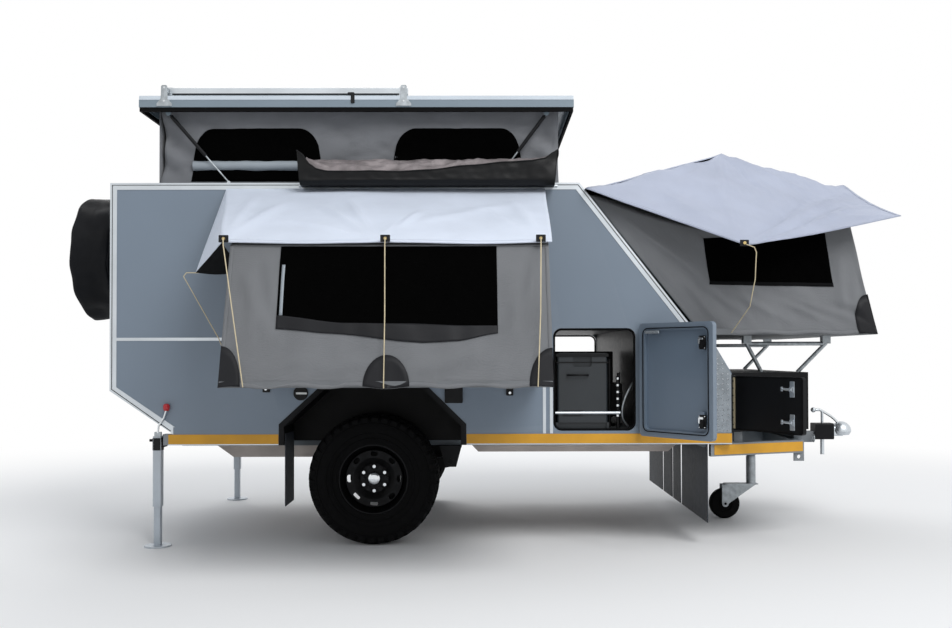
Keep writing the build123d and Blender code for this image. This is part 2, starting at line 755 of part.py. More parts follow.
tyre_side = tyre_width / 2
rim_well = rim_bead - rim_well_depth
for side, s in sides:
    # Each profile is drawn with its radius upright and its width along the axle, and turned about it.
    axle_plane = Plane(origin=(axle_x, s * wheel_y, axle_z), x_dir=(0, s, 0), z_dir=(s, 0, 0))
    spin = Axis((axle_x, 0, axle_z), (0, 1, 0))
    with BuildPart() as tyre:
        with BuildSketch(axle_plane):
            with BuildLine():
                Polyline((-tyre_side * 0.72, rim_radius - 8), (-tyre_side * 0.9, rim_radius + 18),
                         (-tyre_side, (rim_radius + tyre_radius) / 2), (-tyre_side * 0.96, tyre_radius - 34),
                         (-tyre_side * 0.78, tyre_radius - 7), (-tyre_side * 0.5, tyre_radius),
                         (tyre_side * 0.5, tyre_radius), (tyre_side * 0.78, tyre_radius - 7),
                         (tyre_side * 0.96, tyre_radius - 34), (tyre_side, (rim_radius + tyre_radius) / 2),
                         (tyre_side * 0.9, rim_radius + 18), (tyre_side * 0.72, rim_radius - 8), close=True)
            make_face()
        revolve(axis=spin)
    tyre.part.label = f"tyre_{side}"
    export_step(tyre.part, f"parts/tyre_{side}.step")

    rim_side = tyre_side * 0.72
    face_off = hub_face_y - wheel_y
    disc_w = rim_side - disc_inset
    with BuildPart() as rim:
        with BuildSketch(axle_plane):
            with BuildLine():
                Polyline((-rim_side, rim_radius - 8), (-rim_side, rim_radius - 16),
                         (-rim_side + 14, rim_bead - 8), (-rim_side + 40, rim_well),
                         (rim_side - 60, rim_well), (rim_side - 14, rim_bead - 8),
                         (rim_side, rim_radius - 16), (rim_side, rim_radius - 8), close=True)
            make_face()
            with BuildLine():
                Polyline((disc_w - 18, rim_well + seam), (disc_w, slot_circle + slot_radius + slot_margin),
                         (disc_w, slot_circle - slot_radius - 2 * slot_margin), (face_off + disc_thickness, hub_radius + 8),
                         (face_off + disc_thickness, cap_radius), (face_off + seam, cap_radius),
                         (face_off + seam, hub_radius + 14),
                         (disc_w - disc_thickness, slot_circle - slot_radius - slot_margin),
                         (disc_w - disc_thickness, slot_circle + slot_radius + slot_margin / 2),
                         (disc_w - 28, rim_well + seam), close=True)
            make_face()
        revolve(axis=spin)
        with BuildSketch(upright(s * arm_y)):
            with Locations((axle_x, axle_z)):
                with PolarLocations(slot_circle, slot_count):
                    SlotCenterToCenter(slot_radius, 2 * slot_radius, rotation=90)
                with PolarLocations(stud_circle / 2, stud_count):
                    Circle(stud_radius + seam)
        extrude(amount=-s * tyre_width * 2, mode=Mode.SUBTRACT)
    rim.part.label = f"rim_{side}"
    export_step(rim.part, f"parts/rim_{side}.step")

    with BuildPart() as hub:
        with BuildSketch(upright(s * drum_inner_y)):
            with Locations((axle_x, axle_z)):
                Circle(drum_radius)
        extrude(amount=-s * drum_depth)
        with BuildSketch(upright(s * drum_inner_y)):
            with Locations((axle_x, axle_z)):
                Circle(hub_radius)
        extrude(amount=-s * (hub_face_y - drum_inner_y))
        with BuildSketch(upright(s * hub_face_y)):
            with Locations((axle_x, axle_z)):
                Circle(cap_radius - seam)
        extrude(amount=-s * cap_height)
        fillet(hub.faces().sort_by(Axis.Y)[-1 if s > 0 else 0].edges(), radius=cap_height / 5)
        with BuildSketch(upright(s * (hub_face_y + disc_thickness + seam))):
            with Locations((axle_x, axle_z)):
                with PolarLocations(stud_circle / 2, stud_count):
                    RegularPolygon(nut_radius, 6)
        extrude(amount=-s * nut_height)
        with BuildSketch(upright(s * hub_face_y)):
            with Locations((axle_x, axle_z)):
                with PolarLocations(stud_circle / 2, stud_count):
                    Circle(stud_radius)
        extrude(amount=-s * (disc_thickness + nut_height))
        with BuildSketch(upright(s * drum_inner_y)):
            with Locations((axle_x, axle_z)):
                Circle(spindle_radius + spindle_clearance)
        extrude(amount=-s * (hub_face_y + seam - drum_inner_y), mode=Mode.SUBTRACT)
    hub.part.label = f"hub_{side}"
    export_step(hub.part, f"parts/hub_{side}.step")

jockey_wheel_x = jockey_x - jockey_trail
jockey_z = ground + jockey_radius
jockey_crown = ground + jockey_crown_height
fork_y = jockey_width / 2 + seam

with BuildPart() as jockey_leg:
    with BuildSketch(level(jockey_crown)):
        with Locations((jockey_x, 0)):
            Circle(jockey_post)
    extrude(amount=drawbar_z - shackle_plate - seam - jockey_crown)
    with BuildSketch(level(jockey_crown)):
        with Locations((jockey_x, 0)):
            Circle(jockey_socket)
    extrude(amount=socket_z - swing_gap - jockey_crown)
    with BuildSketch(level(jockey_crown)):
        with Locations(((jockey_x + jockey_wheel_x) / 2 + fork_depth / 2, 0)):
            RectangleRounded(jockey_trail + fork_depth, jockey_width + 2 * fork_plate + 2 * seam, fork_depth / 3)
    extrude(amount=fork_plate)
    for s in (1, -1):
        with BuildSketch(upright(s * fork_y)):
            with BuildLine():
                Polyline((jockey_wheel_x - fork_depth / 2, jockey_z), (jockey_wheel_x - fork_depth / 2, jockey_crown),
                         (jockey_x + fork_depth / 2, jockey_crown), (jockey_wheel_x + fork_depth / 2, jockey_z),
                         close=True)
            make_face()
            with Locations((jockey_wheel_x, jockey_z)):
                Circle(fork_depth / 2)
                Circle(jockey_axle + seam, mode=Mode.SUBTRACT)
        extrude(amount=-s * fork_plate)
jockey_leg.part.label = "jockey_leg"
export_step(jockey_leg.part, "parts/jockey_leg.step")

with BuildPart() as jockey_wheel:
    with BuildSketch(Plane(origin=(jockey_wheel_x, 0, jockey_z), x_dir=(0, 1, 0), z_dir=(1, 0, 0))):
        RectangleRounded(jockey_width, 2 * jockey_radius, jockey_width / 4)
        with Locations((0, -jockey_radius)):
            Rectangle(jockey_width, 2 * jockey_radius, mode=Mode.SUBTRACT)
        with Locations((jockey_width / 2, jockey_radius / 3), (-jockey_width / 2, jockey_radius / 3)):
            Rectangle(jockey_width / 3, jockey_radius / 3, mode=Mode.SUBTRACT)
    revolve(axis=Axis((jockey_wheel_x, 0, jockey_z), (0, 1, 0)))
    with BuildSketch(upright(fork_y + 2 * fork_plate)):
        with Locations((jockey_wheel_x, jockey_z)):
            Circle(jockey_axle)
    extrude(amount=2 * (fork_y + 2 * fork_plate))
jockey_wheel.part.label = "jockey_wheel"
export_step(jockey_wheel.part, "parts/jockey_wheel.step")

leg_x = station(leg_run)
leg_pivot = ground + leg_pivot_height
leg_top = leg_pivot + leg_tube / 2

for side, s in sides:
    with BuildPart() as rear_leg:
        with BuildSketch(level(ground + leg_joint_height)):
            with Locations((leg_x, s * leg_y)):
                RectangleRounded(leg_tube, leg_tube, leg_tube / 8)
        extrude(amount=leg_top - ground - leg_joint_height)
        with BuildSketch(level(ground)):
            with Locations((leg_x, s * leg_y)):
                RectangleRounded(leg_inner_tube, leg_inner_tube, leg_tube / 8)
        extrude(amount=leg_joint_height)
        with BuildSketch(level(ground)):
            with Locations((leg_x, s * leg_y)):
                Circle(foot_radius)
        extrude(amount=foot_thickness, taper=12)
        with BuildSketch(across(leg_x)):
            with Locations((s * leg_y, leg_pivot)):
                Circle(leg_pin + seam)
        extrude(amount=2 * leg_tube, both=True, mode=Mode.SUBTRACT)
    rear_leg.part.label = f"rear_leg_{side}"
    export_step(rear_leg.part, f"parts/rear_leg_{side}.step")

# Brackets under the rails: the arms' hangers with their spring seats, and the rear legs' pivots.
with BuildPart() as chassis_brackets:
    for side, s in sides:
        for y in (arm_y - arm_width / 2 - arm_bracket - seam, arm_y + arm_width / 2 + seam):
            with BuildSketch(upright(s * y)):
                with BuildLine():
                    Polyline((arm_pivot_x - 2 * arm_eye, main_rail_z), (arm_pivot_x + 2 * arm_eye, main_rail_z),
                             (arm_pivot_x + arm_eye, arm_pivot_z - arm_eye),
                             (arm_pivot_x - arm_eye, arm_pivot_z - arm_eye), close=True)
                make_face()
                with Locations((arm_pivot_x, arm_pivot_z)):
                    Circle(arm_eye / 2 + seam, mode=Mode.SUBTRACT)
            extrude(amount=-s * arm_bracket)
        with BuildSketch(level(main_rail_z)):
            with Locations((arm_pivot_x, s * (main_y + arm_y + arm_width / 2 + arm_bracket) / 2)):
                Rectangle(4 * arm_eye, arm_y + arm_width / 2 + arm_bracket - main_y + 2 * seam)
            with Locations((spring_x, s * (main_y + arm_y + arm_width / 2) / 2)):
                Rectangle(3 * spring_radius, arm_y + arm_width / 2 - main_y)
        extrude(amount=-arm_bracket)
        with BuildSketch(across(chassis_rear)):
            with Locations((s * leg_y, leg_pivot)):
                RectangleRounded(1.4 * leg_tube, 1.5 * leg_tube, leg_pin)
        extrude(amount=-leg_plate)
        with BuildSketch(across(chassis_rear)):
            with Locations((s * leg_y, leg_pivot)):
                Circle(leg_pin)
        extrude(amount=leg_x - leg_tube - chassis_rear)
chassis_brackets.part.label = "chassis_brackets"
export_step(chassis_brackets.part, "parts/chassis_brackets.step")

# Rubber flaps that hang under the nose, each as its two ends across the trailer.
stone_flaps = ((-970.0, -260.0), (-205.0, 30.0), (70.0, 375.0), (425.0, 960.0))
with BuildPart() as rubber_flaps:
    for low, high in stone_flaps:
        with BuildSketch(across(front_member_x + flap_bar / 2)):
            with Locations(((low + high) / 2, (ground + stone_flap_bottom_height + rail_z) / 2)):
                Rectangle(high - low, rail_z - ground - stone_flap_bottom_height)
        extrude(amount=flap_thickness)
    for side, s in sides:
        with BuildSketch(across(arch_rear + sheet)):
            with Locations((s * (half - mud_flap_width / 2 - rail_width / 2),
                            (ground + mud_flap_bottom_height + sill_z) / 2)):
                Rectangle(mud_flap_width, sill_height - mud_flap_bottom_height)
        extrude(amount=flap_thickness)
rubber_flaps.part.label = "rubber_flaps"
export_step(rubber_flaps.part, "parts/rubber_flaps.step")

# Trays hung under the main rails, each as a profile of runs and heights.
front_tray = ((1540.0, 561.0), (1494.0, 512.0), (294.0, 512.0), (235.0, 561.0))
rear_tray = ((3147.0, 561.0), (3037.0, 482.0), (2476.0, 482.0), (2400.0, 561.0))
with BuildPart() as under_trays:
    for points in (front_tray, rear_tray):
        with BuildSketch(upright(tray_half)):
            with BuildLine():
                Polyline(*[(station(run), ground + height) for run, height in points], close=True)
            make_face()
        extrude(amount=2 * tray_half)
        with BuildSketch(level(main_rail_z)):
            with Locations((nose_x - (points[0][0] + points[3][0]) / 2, 0)):
                Rectangle(points[0][0] - points[3][0] - 4 * rail_width, 2 * main_y)
        extrude(amount=-leg_plate)
under_trays.part.label = "under_trays"
export_step(under_trays.part, "parts/under_trays.step")

# Spare wheel on its bracket at the rear wall, under a round fabric cover.
spare_z = ground + spare_height
spare_front = rear_x - spare_gap
with BuildPart() as spare_bracket:
    with BuildSketch(across(rear_x)):
        with Locations((spare_y, spare_z)):
            RectangleRounded(spare_radius, 0.8 * spare_radius, spare_gap / 4)
    extrude(amount=-bracket_plate)
    with BuildSketch(across(rear_x)):
        with Locations((spare_y, spare_z)):
            with GridLocations(0.6 * spare_radius, 0.4 * spare_radius, 2, 2):
                Rectangle(leg_inner_tube, leg_inner_tube)
    extrude(amount=-spare_gap)
    with BuildSketch(across(rear_x)):
        with Locations((spare_y, spare_z)):
            Circle(cap_radius / 2)
    extrude(amount=-spare_gap - spare_width / 2)
spare_bracket.part.label = "spare_bracket"
export_step(spare_bracket.part, "parts/spare_bracket.step")

spare_plane = Plane(origin=(spare_front, spare_y, spare_z), x_dir=(-1, 0, 0), z_dir=(0, 1, 0))
spare_axis = Axis((0, spare_y, spare_z), (1, 0, 0))
with BuildPart() as spare_cover:
    with BuildSketch(spare_plane):
        with BuildLine():
            Polyline((0, cap_radius / 2 + seam), (0, spare_radius * 0.8), (spare_width * 0.12, spare_radius),
                     (spare_width * 0.88, spare_radius), (spare_width, spare_radius * 0.8), (spare_width, 0),
                     (spare_width / 2 + seam, 0), (spare_width / 2 + seam, cap_radius / 2 + seam), close=True)
        make_face()
    revolve(axis=spare_axis)
spare_cover.part.label = "spare_cover"
export_step(spare_cover.part, "parts/spare_cover.step")

# Pop-top roof.

roof_length = roof_front - roof_rear
roof_x = (roof_rear + roof_front) / 2
roof_ceiling = roof_top - roof_skin
roof_pivot = roof_lip - pivot_drop
anchor_z = eaves_z + anchor_rise
plate_y = strut_y + strut_eye_thickness / 2 + strut_plate_gap

# Gas struts: name, run of the pivot on the roof, run of the anchor on the body.
struts = (("rear", 3328.0, 2969.0), ("front", 1084.0, 1394.0))

with BuildPart() as roof_panel:
    with BuildSketch(level(roof_lip)):
        with Locations((roof_x, 0)):
            Rectangle(roof_length, body_width)
    extrude(amount=roof_top - roof_lip)
    chamfer(roof_panel.faces().sort_by(Axis.Z)[-1].edges(), length=roof_bevel)
    with BuildSketch(level(roof_lip)):
        with Locations((roof_x, 0)):
            Rectangle(roof_length - 2 * roof_lip_width, body_width - 2 * roof_lip_width)
    extrude(amount=roof_ceiling - roof_lip, mode=Mode.SUBTRACT)
    for side, s in sides:
        for name, pivot_run, anchor_run in struts:
            with BuildSketch(upright(s * plate_y)):
                with Locations((station(pivot_run), roof_pivot)):
                    Circle(1.5 * strut_eye)
                with Locations((station(pivot_run), (roof_pivot + roof_ceiling) / 2)):
                    Rectangle(3 * strut_eye, roof_ceiling - roof_pivot)
            extrude(amount=-s * strut_plate)
            with BuildSketch(upright(s * plate_y)):
                with Locations((station(pivot_run), roof_pivot)):
                    Circle(strut_pin)
            extrude(amount=s * (strut_plate_gap + strut_eye_thickness + strut_plate))
roof_panel.part.label = "roof_panel"
export_step(roof_panel.part, "parts/roof_panel.step")

with BuildPart() as roof_seal:
    with BuildSketch(level(roof_lip)):
        with Locations((roof_x, 0)):
            Rectangle(roof_length - roof_lip_width / 4, body_width - roof_lip_width / 4)
            Rectangle(roof_length - 2 * seal_width, body_width - 2 * seal_width, mode=Mode.SUBTRACT)
    extrude(amount=-seal_height)
roof_seal.part.label = "roof_seal"
export_step(roof_seal.part, "parts/roof_seal.step")

# Roof rails in two cast feet on each side, and the lid of the roof vent.
rack_rear = station(rack_rear_run)
rack_front = station(rack_front_run)
rack_z = roof_top + rack_lift
with BuildPart() as roof_rack:
    for side, s in sides:
        with BuildSketch(across(rack_rear)):
            with Locations((s * rack_y, rack_z + rack_height / 2)):
                RectangleRounded(rack_width, rack_height, rack_width / 5)
        extrude(amount=rack_front - rack_rear)
        for x in (rack_rear, rack_front - rack_foot):
            with BuildSketch(upright(s * (rack_y - rack_width / 2))):
                with BuildLine():
                    Polyline((x, roof_top), (x + rack_foot * 0.15, rack_z + rack_height),
                             (x + rack_foot * 0.85, rack_z + rack_height), (x + rack_foot, roof_top), close=True)
                make_face()
            extrude(amount=-s * rack_width)
roof_rack.part.label = "roof_rack"
export_step(roof_rack.part, "parts/roof_rack.step")

with BuildPart() as vent_lid:
    with BuildSketch(level(roof_top)):
        with Locations((station(hatch_lid_run), 0)):
            RectangleRounded(hatch_lid, hatch_lid, hatch_lid / 10)
    extrude(amount=hatch_lid_height, taper=10)
vent_lid.part.label = "vent_lid"
export_step(vent_lid.part, "parts/vent_lid.step")

for name, pivot_run, anchor_run in struts:
    reach = station(anchor_run) - station(pivot_run)
    fall = roof_pivot - anchor_z
    length = hypot(reach, fall)
    closed_length = abs(reach)
    lean = Vector(reach / length, 0, -fall / length)
    with BuildPart() as strut_cylinder:
        for side, s in sides:
            pivot = Vector(station(pivot_run), s * strut_y, roof_pivot)
            with BuildSketch(Plane(origin=pivot + lean * strut_start, z_dir=lean)):
                Circle(strut_radius)
            extrude(amount=closed_length - strut_end_gap - strut_start)
            with BuildSketch(Plane(origin=pivot + lean * (strut_start + strut_eye), z_dir=lean)):
                Circle(rod_radius + seam)
            extrude(amount=closed_length, mode=Mode.SUBTRACT)
            with BuildSketch(upright(pivot.Y + s * strut_eye_thickness / 2)):
                with Locations((pivot.X, pivot.Z)):
                    Circle(strut_eye)
                with Locations((pivot.X + lean.X * strut_start / 2, pivot.Z + lean.Z * strut_start / 2)):
                    Rectangle(strut_start * 1.2, strut_eye, rotation=degrees(atan2(lean.Z, lean.X)))
            extrude(amount=s * strut_eye_thickness)
            with BuildSketch(upright(pivot.Y + s * strut_eye_thickness)):
                with Locations((pivot.X, pivot.Z)):
                    Circle(strut_pin + seam)
            extrude(amount=s * 2 * strut_eye_thickness, mode=Mode.SUBTRACT)
    strut_cylinder.part.label = f"strut_cylinder_{name}"
    export_step(strut_cylinder.part, f"parts/strut_cylinder_{name}.step")

    with BuildPart() as strut_rod:
        for side, s in sides:
            pivot = Vector(station(pivot_run), s * strut_y, roof_pivot)
            anchor = pivot + lean * length
            rod_length = length - closed_length + strut_end_gap + strut_start + 2 * strut_eye
            with BuildSketch(Plane(origin=anchor, z_dir=lean * -1)):
                Circle(rod_radius)
            extrude(amount=rod_length)
            with BuildSketch(upright(anchor.Y + s * strut_eye_thickness / 2)):
                with Locations((anchor.X, anchor.Z)):
                    Circle(strut_eye)
            extrude(amount=s * strut_eye_thickness)
    strut_rod.part.label = f"strut_rod_{name}"
    export_step(strut_rod.part, f"parts/strut_rod_{name}.step")

skirt_length = skirt_front - skirt_rear
skirt_x = (skirt_rear + skirt_front) / 2
with BuildPart() as roof_skirt:
    with BuildSketch(level(eaves_z)):
        with Locations((skirt_x, 0)):
            Rectangle(skirt_length, 2 * skirt_half)
            Rectangle(skirt_length - 2 * skirt_cloth, 2 * (skirt_half - skirt_cloth), mode=Mode.SUBTRACT)
    extrude(amount=roof_ceiling - seam - eaves_z)
roof_skirt.part.label = "roof_skirt"
export_step(roof_skirt.part, "parts/roof_skirt.step")

# Fold-out beds.

bed_length = pod_top - pod_sill - swing_gap - hinge_gap
bed_edge = half + 2 * hinge_gap
side_bed_x = (pod_front + pod_rear) / 2
side_bed_width = pod_front - pod_rear - 2 * swing_gap
bed_top = pod_sill + bed_thickness
with BuildPart() as side_bed:
    with BuildSketch(level(pod_sill)):
        with Locations((side_bed_x, -bed_edge - bed_length / 2)):
            Rectangle(side_bed_width, bed_length)
    extrude(amount=bed_thickness)
side_bed.part.label = "side_bed"
export_step(side_bed.part, "parts/side_bed.step")

with BuildPart() as side_mattress:
    with BuildSketch(level(bed_top)):
        with Locations((side_bed_x, -bed_edge - bed_length / 2)):
            Rectangle(side_bed_width - 2 * mattress_inset, bed_length - 2 * mattress_inset)
    extrude(amount=mattress_thickness)
    fillet(side_mattress.edges().filter_by(Axis.Z), radius=mattress_inset)
side_mattress.part.label = "side_mattress"
export_step(side_mattress.part, "parts/side_mattress.step")

# The side tent leans out over the bed's edge. Its cloth reaches the bed's underside.
tent_front = pod_front + swing_gap
tent_rear = pod_rear - swing_gap
tent_edge = -bed_edge - bed_length - cloth_gap - cloth
tent_wall = -half - seam
tent_top = ground + tent_top_height
tent_profile = [(tent_wall, pod_sill), (tent_wall, pod_top + cloth_gap), (-half - tent_top_reach, tent_top),
                (tent_edge, bed_top), (tent_edge, pod_sill)]
tent_inside = [(tent_wall + cloth, pod_sill - cloth), (tent_wall + cloth, pod_top),
               (-half - tent_top_reach + cloth, tent_top - cloth), (tent_edge + cloth, bed_top),
               (tent_edge + cloth, pod_sill - cloth)]
with BuildPart() as side_tent:
    with BuildSketch(across(tent_rear)):
        Polygon(*tent_profile, align=None)
    extrude(amount=tent_front - tent_rear)
    with BuildSketch(across(tent_rear + cloth)):
        Polygon(*tent_inside, align=None)
    extrude(amount=tent_front - tent_rear - 2 * cloth, mode=Mode.SUBTRACT)
side_tent.part.label = "side_tent"
export_step(side_tent.part, "parts/side_tent.step")

# The side fly is one flat sheet from the eaves trim, with a flap that hangs at its rear end.
fly_wall = -half - trim_thickness - seam
fly_top = eaves_z - fly_edge_drop
fly_front_y = -half - tent_top_reach - fly_gap
fly_front_z = tent_top + fly_gap
side_fly_facets = [
    [(tent_rear - fly_side, fly_wall, fly_top), (tent_front + fly_edge_drop, fly_wall, fly_top),
     (tent_front, fly_front_y, fly_front_z), (tent_rear - fly_gap, fly_front_y, fly_front_z)],
    [(tent_rear - fly_side, fly_wall, fly_top), (tent_rear - fly_gap, fly_front_y, fly_front_z),
     (station(flap_gap), -half - flap_reach, ground + flap_height)],
]
with BuildPart() as side_fly:
    for corners in side_fly_facets:
        extrude(Face(Wire.make_polygon(corners)), amount=fly_cloth, dir=(0, 0, -1))
side_fly.part.label = "side_fly"
export_step(side_fly.part, "parts/side_fly.step")

# The front bed hinges at the foot of the slope and closes over the walls' edges.
slope_lean = atan2(eaves_z - ledge_z, ledge_x - corner_x)
slope_out = Vector(sin(slope_lean), 0, cos(slope_lean))
front_hinge_z = bed_under + front_bed_thickness
slope_reach = (front_hinge_z - ledge_z) / tan(slope_lean)
front_hinge_x = ledge_x - slope_reach + swing_gap / sin(slope_lean)
front_bed_rear = front_hinge_x + front_bed_inset
front_bed_front = -front_bed_gap
front_bed_x = (front_bed_rear + front_bed_front) / 2
front_bed_length = front_bed_front - front_bed_rear
with BuildPart() as front_bed:
    with BuildSketch(level(bed_under)):
        with Locations((front_bed_x, 0)):
            Rectangle(front_bed_length, body_width)
    extrude(amount=front_bed_thickness)
front_bed.part.label = "front_bed"
export_step(front_bed.part, "parts/front_bed.step")

with BuildPart() as front_mattress:
    with BuildSketch(level(front_hinge_z)):
        with Locations((front_bed_x - mattress_lip / 2, 0)):
            Rectangle(front_bed_length - 2 * mattress_inset - mattress_lip, 2 * (inner - mattress_inset))
    extrude(amount=mattress_thickness)
    fillet(front_mattress.edges().filter_by(Axis.Z), radius=mattress_inset)
front_mattress.part.label = "front_mattress"
export_step(front_mattress.part, "parts/front_mattress.step")

# Front tent: side walls from the slope to the bed's edge under a roof that rises to a peak.
front_tent_half = half + seam + cloth
slope_foot = (ledge_x - (bed_under - ledge_z) / tan(slope_lean), bed_under)
tent_shift = slope_out * (swing_gap + cloth)
tent_head = (corner_x - slope_run * front_tent_head_drop + tent_shift.X,
             eaves_z - front_tent_head_drop + tent_shift.Z)
tent_foot = (slope_foot[0] + tent_shift.X, bed_under)
front_tent_edge = -front_bed_gap + seam + cloth
front_tent_profile = [tent_foot, (front_tent_edge, bed_under), (front_tent_edge, front_hinge_z),
                      (-front_tent_top_gap, ground + front_tent_top_height), tent_head]
front_tent_inside = [(tent_foot[0] - mattress_inset, bed_under - cloth), (front_tent_edge - cloth, bed_under - cloth),
                     (front_tent_edge - cloth, front_hinge_z),
                     (-front_tent_top_gap - cloth, ground + front_tent_top_height - cloth),
                     (tent_head[0] - mattress_inset, tent_head[1])]
eave_start = Vector(tent_head[0], 0, tent_head[1])
eave_end = Vector(-front_tent_top_gap, 0, ground + front_tent_top_height)
eave = eave_end - eave_start
eave_plane = Plane(origin=eave_start + eave * 0.5, x_dir=eave, z_dir=eave.cross(Vector(0, 1, 0)))
with BuildPart() as front_tent:
    for profile, wall in ((front_tent_profile, 0), (front_tent_inside, cloth)):
        with BuildSketch(upright(front_tent_half - wall)):
            Polygon(*profile, align=None)
        extrude(amount=2 * (front_tent_half - wall), mode=Mode.SUBTRACT if wall else Mode.ADD)
        with BuildSketch(eave_plane.offset(-2 * wall)):
            Rectangle(eave.length - 4 * wall, 2 * (front_tent_half - wall))
        with BuildSketch(level(ground + front_tent_peak_height - 2 * wall)):
            with Locations((-front_tent_peak_gap, 0)):
                Rectangle(peak_size, peak_size)
        loft(mode=Mode.SUBTRACT if wall else Mode.ADD, ruled=True)
front_tent.part.label = "front_tent"
export_step(front_tent.part, "parts/front_tent.step")

# The front fly falls from its peak to the slope's trim, to the middle of its front edge and to a
# grommet at each side, and its front corners hang beyond the fold between those.
fly_peak = (-front_tent_peak_gap, 0, ground + front_fly_peak_height)
fly_start = Vector(corner_x - slope_run * trim_width, 0, eaves_z - trim_width)
fly_start += slope_out * (seam + fly_cloth * slope_out.Z)
fly_middle = (fly_middle_reach, 0, ground + fly_middle_height)
fly_rear = [(fly_start.X, s * front_fly_half, fly_start.Z) for _, s in sides]
fly_grommet = [(-fly_grommet_gap, s * fly_grommet_half, ground + fly_grommet_height) for _, s in sides]
fly_corner = [(-fly_corner_gap, s * front_fly_half, ground + fly_corner_height) for _, s in sides]
front_fly_facets = [[fly_peak, *fly_rear]]
for rear, grommet, corner in zip(fly_rear, fly_grommet, fly_corner):
    front_fly_facets += [[fly_peak, rear, grommet], [fly_peak, grommet, fly_middle], [fly_middle, grommet, corner]]
with BuildPart() as front_fly:
    for corners in front_fly_facets:
        extrude(Face(Wire.make_polygon(corners)), amount=fly_cloth, dir=(0, 0, -1))
front_fly.part.label = "front_fly"
export_step(front_fly.part, "parts/front_fly.step")

# Doors.

hatch_hinge_x = hatch_front + hatch_lap + hatch_hinge_gap
hatch_hinge_y = half + hatch_seal + hatch_door_thickness
hatch_door_height = hatch_top - hatch_sill + 2 * hatch_lap
hatch_door_width = hatch_front - hatch_rear + 2 * hatch_lap
hatch_door_z = hatch_sill - hatch_lap

for side, s in sides:
    turn = radians(hatch_swing)
    hatch_plane = Plane(origin=(hatch_hinge_x, s * hatch_hinge_y, hatch_door_z),
                        x_dir=(-cos(turn), s * sin(turn), 0), z_dir=(sin(turn), s * cos(turn), 0))
    middle = (hatch_hinge_gap + hatch_door_width / 2, s * hatch_door_height / 2)
    with BuildPart() as hatch_door:
        with BuildSketch(hatch_plane):
            with Locations(middle):
                RectangleRounded(hatch_door_width, hatch_door_height, hatch_corner / 2)
        extrude(amount=-hatch_door_thickness)
        with BuildSketch(hatch_plane.offset(-hatch_door_thickness)):
            with Locations(middle):
                RectangleRounded(hatch_door_width - 2 * hatch_frame, hatch_door_height - 2 * hatch_frame,
                                 hatch_corner / 2)
        extrude(amount=hatch_pocket, mode=Mode.SUBTRACT)
        with BuildSketch(hatch_plane.offset(hatch_pocket - hatch_door_thickness)):
            with Locations((hatch_hinge_gap + hatch_door_width - hatch_frame - latch_width, s * hatch_frame * 3),
                           (hatch_hinge_gap + hatch_door_width - hatch_frame - latch_width,
                            s * (hatch_door_height - hatch_frame * 3))):
                RectangleRounded(latch_width, latch_height, latch_width / 5)
        extrude(amount=-latch_depth)
    hatch_door.part.label = f"hatch_door_{side}"
    export_step(hatch_door.part, f"parts/hatch_door_{side}.step")

# The box's doors hinge at their rear edge, beside the nose, and follow the box's slant.
nose_door_width = box_side - 2 * box_frame + box_frame
nose_door_start = box_frame / 2
nose_door_z = box_z + box_frame / 2
nose_door_height = box_height - box_frame
for side, s in sides:
    hinge_along = nose_door_start - nose_hinge_gap
    hinge_x = box_rear + hinge_along * cos(box_lean) + door_seal * sin(box_lean)
    hinge_y = box_rear_half - hinge_along * sin(box_lean) + door_seal * cos(box_lean)
    turn = radians(nose_door_swing) - box_lean
    nose_plane = Plane(origin=(hinge_x, s * hinge_y, nose_door_z),
                       x_dir=(cos(turn), s * sin(turn), 0), z_dir=(-sin(turn), s * cos(turn), 0))
    middle = (nose_hinge_gap + nose_door_width / 2, -s * nose_door_height / 2)
    with BuildPart() as nose_door:
        with BuildSketch(nose_plane):
            with Locations(middle):
                RectangleRounded(nose_door_width, nose_door_height, box_frame / 2)
        extrude(amount=nose_door_thickness)
        with BuildSketch(nose_plane):
            with Locations(middle):
                RectangleRounded(nose_door_width - box_frame * 1.5, nose_door_height - box_frame * 1.5, box_frame / 3)
        extrude(amount=nose_door_pocket, mode=Mode.SUBTRACT)
    nose_door.part.label = f"nose_door_{side}"
    export_step(nose_door.part, f"parts/nose_door_{side}.step")

# Entrance door on the left, hinged at its front edge, shut.
entrance_width = door_front - door_rear + 2 * entrance_lap
entrance_height = door_top - door_sill + 2 * entrance_lap
entrance_plane = upright(half + door_seal)
with BuildPart() as entrance_door:
    with BuildSketch(entrance_plane):
        with Locations(((door_front + door_rear) / 2, (door_sill + door_top) / 2)):
            RectangleRounded(entrance_width, entrance_height, hatch_corner)
    extrude(amount=-entrance_thickness)
    with BuildSketch(upright(half + door_seal + entrance_thickness)):
        with Locations((door_rear + latch_height, (door_sill + door_top) / 2)):
            RectangleRounded(latch_height, latch_height * 2, latch_width / 4)
    extrude(amount=-latch_width)
entrance_door.part.label = "entrance_door"
export_step(entrance_door.part, "parts/entrance_door.step")

